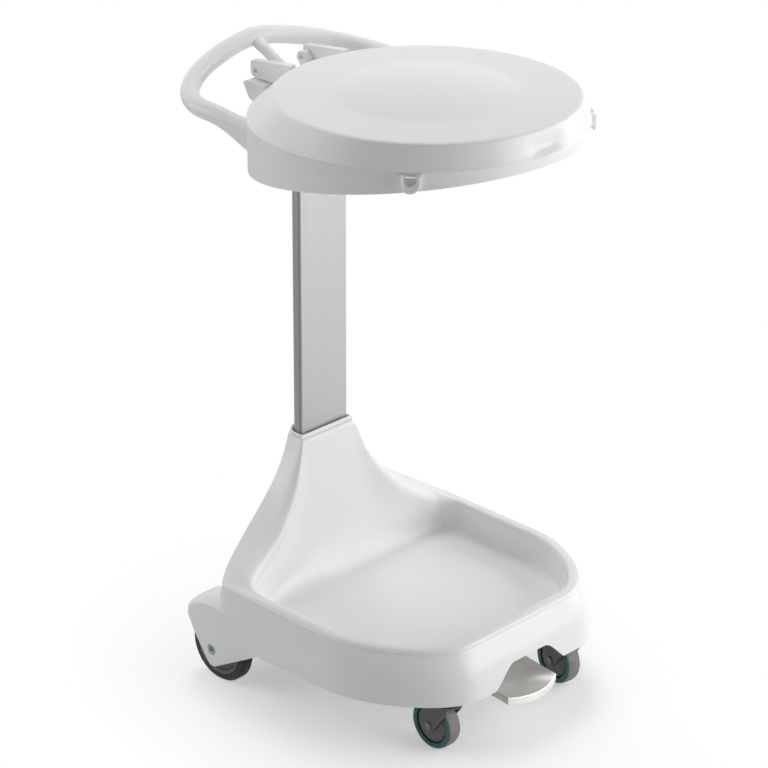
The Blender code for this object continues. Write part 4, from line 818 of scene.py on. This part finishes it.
fork_grey, fork_shader, fork_place = finish("caster_grey")
feed(fork_shader, Base_Color=fork_place.noise(80, 3).tint((0.105, 0.105, 0.107), (0.140, 0.140, 0.142)),
     Roughness=0.36 + 0.14 * fork_place.noise(150, 2), Normal=fork_place.noise(1300, 2).bump(0.0001, 0.4))
dress(fork_grey, "caster_fork_left", "caster_fork_right", "caster_hub_left", "caster_hub_right")
dark_steel, dark_shader, dark_place = finish("dark_steel", Metallic=1.0)
burnish = dark_place.noise(260, 3)
feed(dark_shader, Base_Color=burnish.tint((0.13, 0.13, 0.135), (0.24, 0.24, 0.245)),
     Roughness=0.30 + 0.2 * burnish, Normal=dark_place.noise(900, 2).bump(0.00003, 0.5))
dress(dark_steel, "caster_axle_left", "caster_axle_right")
teal, teal_shader, teal_place = finish("caster_teal")
feed(teal_shader, Base_Color=teal_place.noise(80, 3).tint((0.012, 0.105, 0.098), (0.020, 0.140, 0.130)),
     Roughness=0.38 + 0.12 * teal_place.noise(150, 2), Normal=teal_place.noise(1300, 2).bump(0.0001, 0.4))
dress(teal, "caster_rim_left", "caster_rim_right")
tread, tread_shader, tread_place = finish("tread_grey")
scuffed = tread_place.noise(70, 4).ramp(0.4, 0.7)
feed(tread_shader, Base_Color=scuffed.tint((0.20, 0.195, 0.19), (0.27, 0.265, 0.26)),
     Roughness=0.55 + 0.15 * scuffed, Normal=tread_place.noise(900, 3).bump(0.0002, 0.4))
dress(tread, "caster_tyre_left", "caster_tyre_right")

# Stage: a pale floor that keeps the soft shadow and fades to white away from it, a white surround,
# five soft boxes and the photograph's camera. None of it belongs to the holder.

ground = bmesh.new()
bmesh.ops.create_grid(ground, x_segments=8, y_segments=8, size=9)
floor = thing("floor", ground)
pale, pale_shader, pale_place = finish("pale_floor", Roughness=0.9, Specular_IOR_Level=0.0,
                                       Emission_Strength=1.0)
seen = pale_place.make("ShaderNodeLightPath", {}, {}, "Is Camera Ray")
reflected = pale_place.make("ShaderNodeLightPath", {}, {}, "Is Glossy Ray")
shade_stretch = (1.25, 1, 1)
shade_shift = (0, 0.06, 0)
spread = pale_place.make("ShaderNodeVectorMath", {"operation": "MULTIPLY_ADD"},
                         {0: pale_place, 1: shade_stretch, 2: shade_shift})
away = spread.make("ShaderNodeVectorMath", {"operation": "LENGTH"}, {0: spread}, "Value")
far = away.ramp(0.25, 0.58)
# Painted light and shade: seen in reflections, the floor glows brighter towards the right front and dimmer
# towards the left back, which darkens the holder's left-facing glossy sides.
painted_light_side = (pale_place.part("X") - pale_place.part("Y")).ramp(-1.4, 0.6)
lit = seen + reflected * (0.40 + 0.60 * painted_light_side)
feed(pale_shader, Base_Color=((seen + reflected) * far).tint((0.80, 0.80, 0.80), (0, 0, 0)),
     Emission_Color=(lit * (0.34 + 0.66 * far)).tint((0, 0, 0), (1, 1, 1)))
floor.data.materials.append(pale)

world = bpy.data.worlds.new("surround")
bpy.context.scene.world = world
world.use_nodes = True
sky = Wire(world.node_tree)
backdrop = world.node_tree.nodes["Background"]
camera_ray = sky.make("ShaderNodeLightPath", {}, {}, "Is Camera Ray")
glossy_ray = sky.make("ShaderNodeLightPath", {}, {}, "Is Glossy Ray")
clear_ray = sky.make("ShaderNodeLightPath", {}, {}, "Is Transmission Ray")
shown = sky.math("MAXIMUM", sky.math("MAXIMUM", camera_ray, glossy_ray), clear_ray)
feed(backdrop, Color=shown.tint((0.25, 0.25, 0.25), (1, 1, 1)))
backdrop.inputs["Strength"].default_value = 1.0

lamp_aim = Vector((0, 0, 0.45))


def soft_box(name, place, size, power):
    """A square lamp turned towards the holder's middle."""
    lamp = bpy.data.lights.new(name, "AREA")
    lamp.shape = "SQUARE"
    lamp.size = size
    lamp.energy = power
    box = bpy.data.objects.new(name, lamp)
    box.location = place
    box.rotation_euler = (lamp_aim - Vector(place)).to_track_quat("-Z", "Y").to_euler()
    bpy.context.scene.collection.objects.link(box)
    return box


soft_box("right", (2.5, -1.3, 1.5), size=2.0, power=27.5)
soft_box("front", (1.0, -2.3, 0.9), size=1.6, power=27.5)
soft_box("back_left", (-1.9, 2.2, 1.3), size=1.6, power=17)
soft_box("left_top", (-1.9, 1.0, 2.2), size=1.4, power=8)
overhead = soft_box("back_top", (0.85, 0.95, 2.8), size=1.2, power=24)
overhead.visible_glossy = False

focal_pixels = 2900
frame_pixels = 768
camera_place = (-2.7035, -2.630, 2.1391)
camera_right = Vector((0.7009, -0.7133, 0.0041))
camera_up = Vector((0.2889, 0.2892, 0.9126))
camera_back = Vector((-0.6521, -0.6385, 0.4087))
camera_turn = Matrix((camera_right, camera_up, camera_back)).transposed().to_4x4()
camera = bpy.data.objects.new("camera", bpy.data.cameras.new("camera"))
camera.data.sensor_width = 36
camera.data.lens = focal_pixels / frame_pixels * camera.data.sensor_width
camera.matrix_world = Matrix.Translation(camera_place) @ camera_turn
bpy.context.scene.collection.objects.link(camera)
bpy.context.scene.camera = camera
bpy.context.scene.view_settings.view_transform = "Standard"
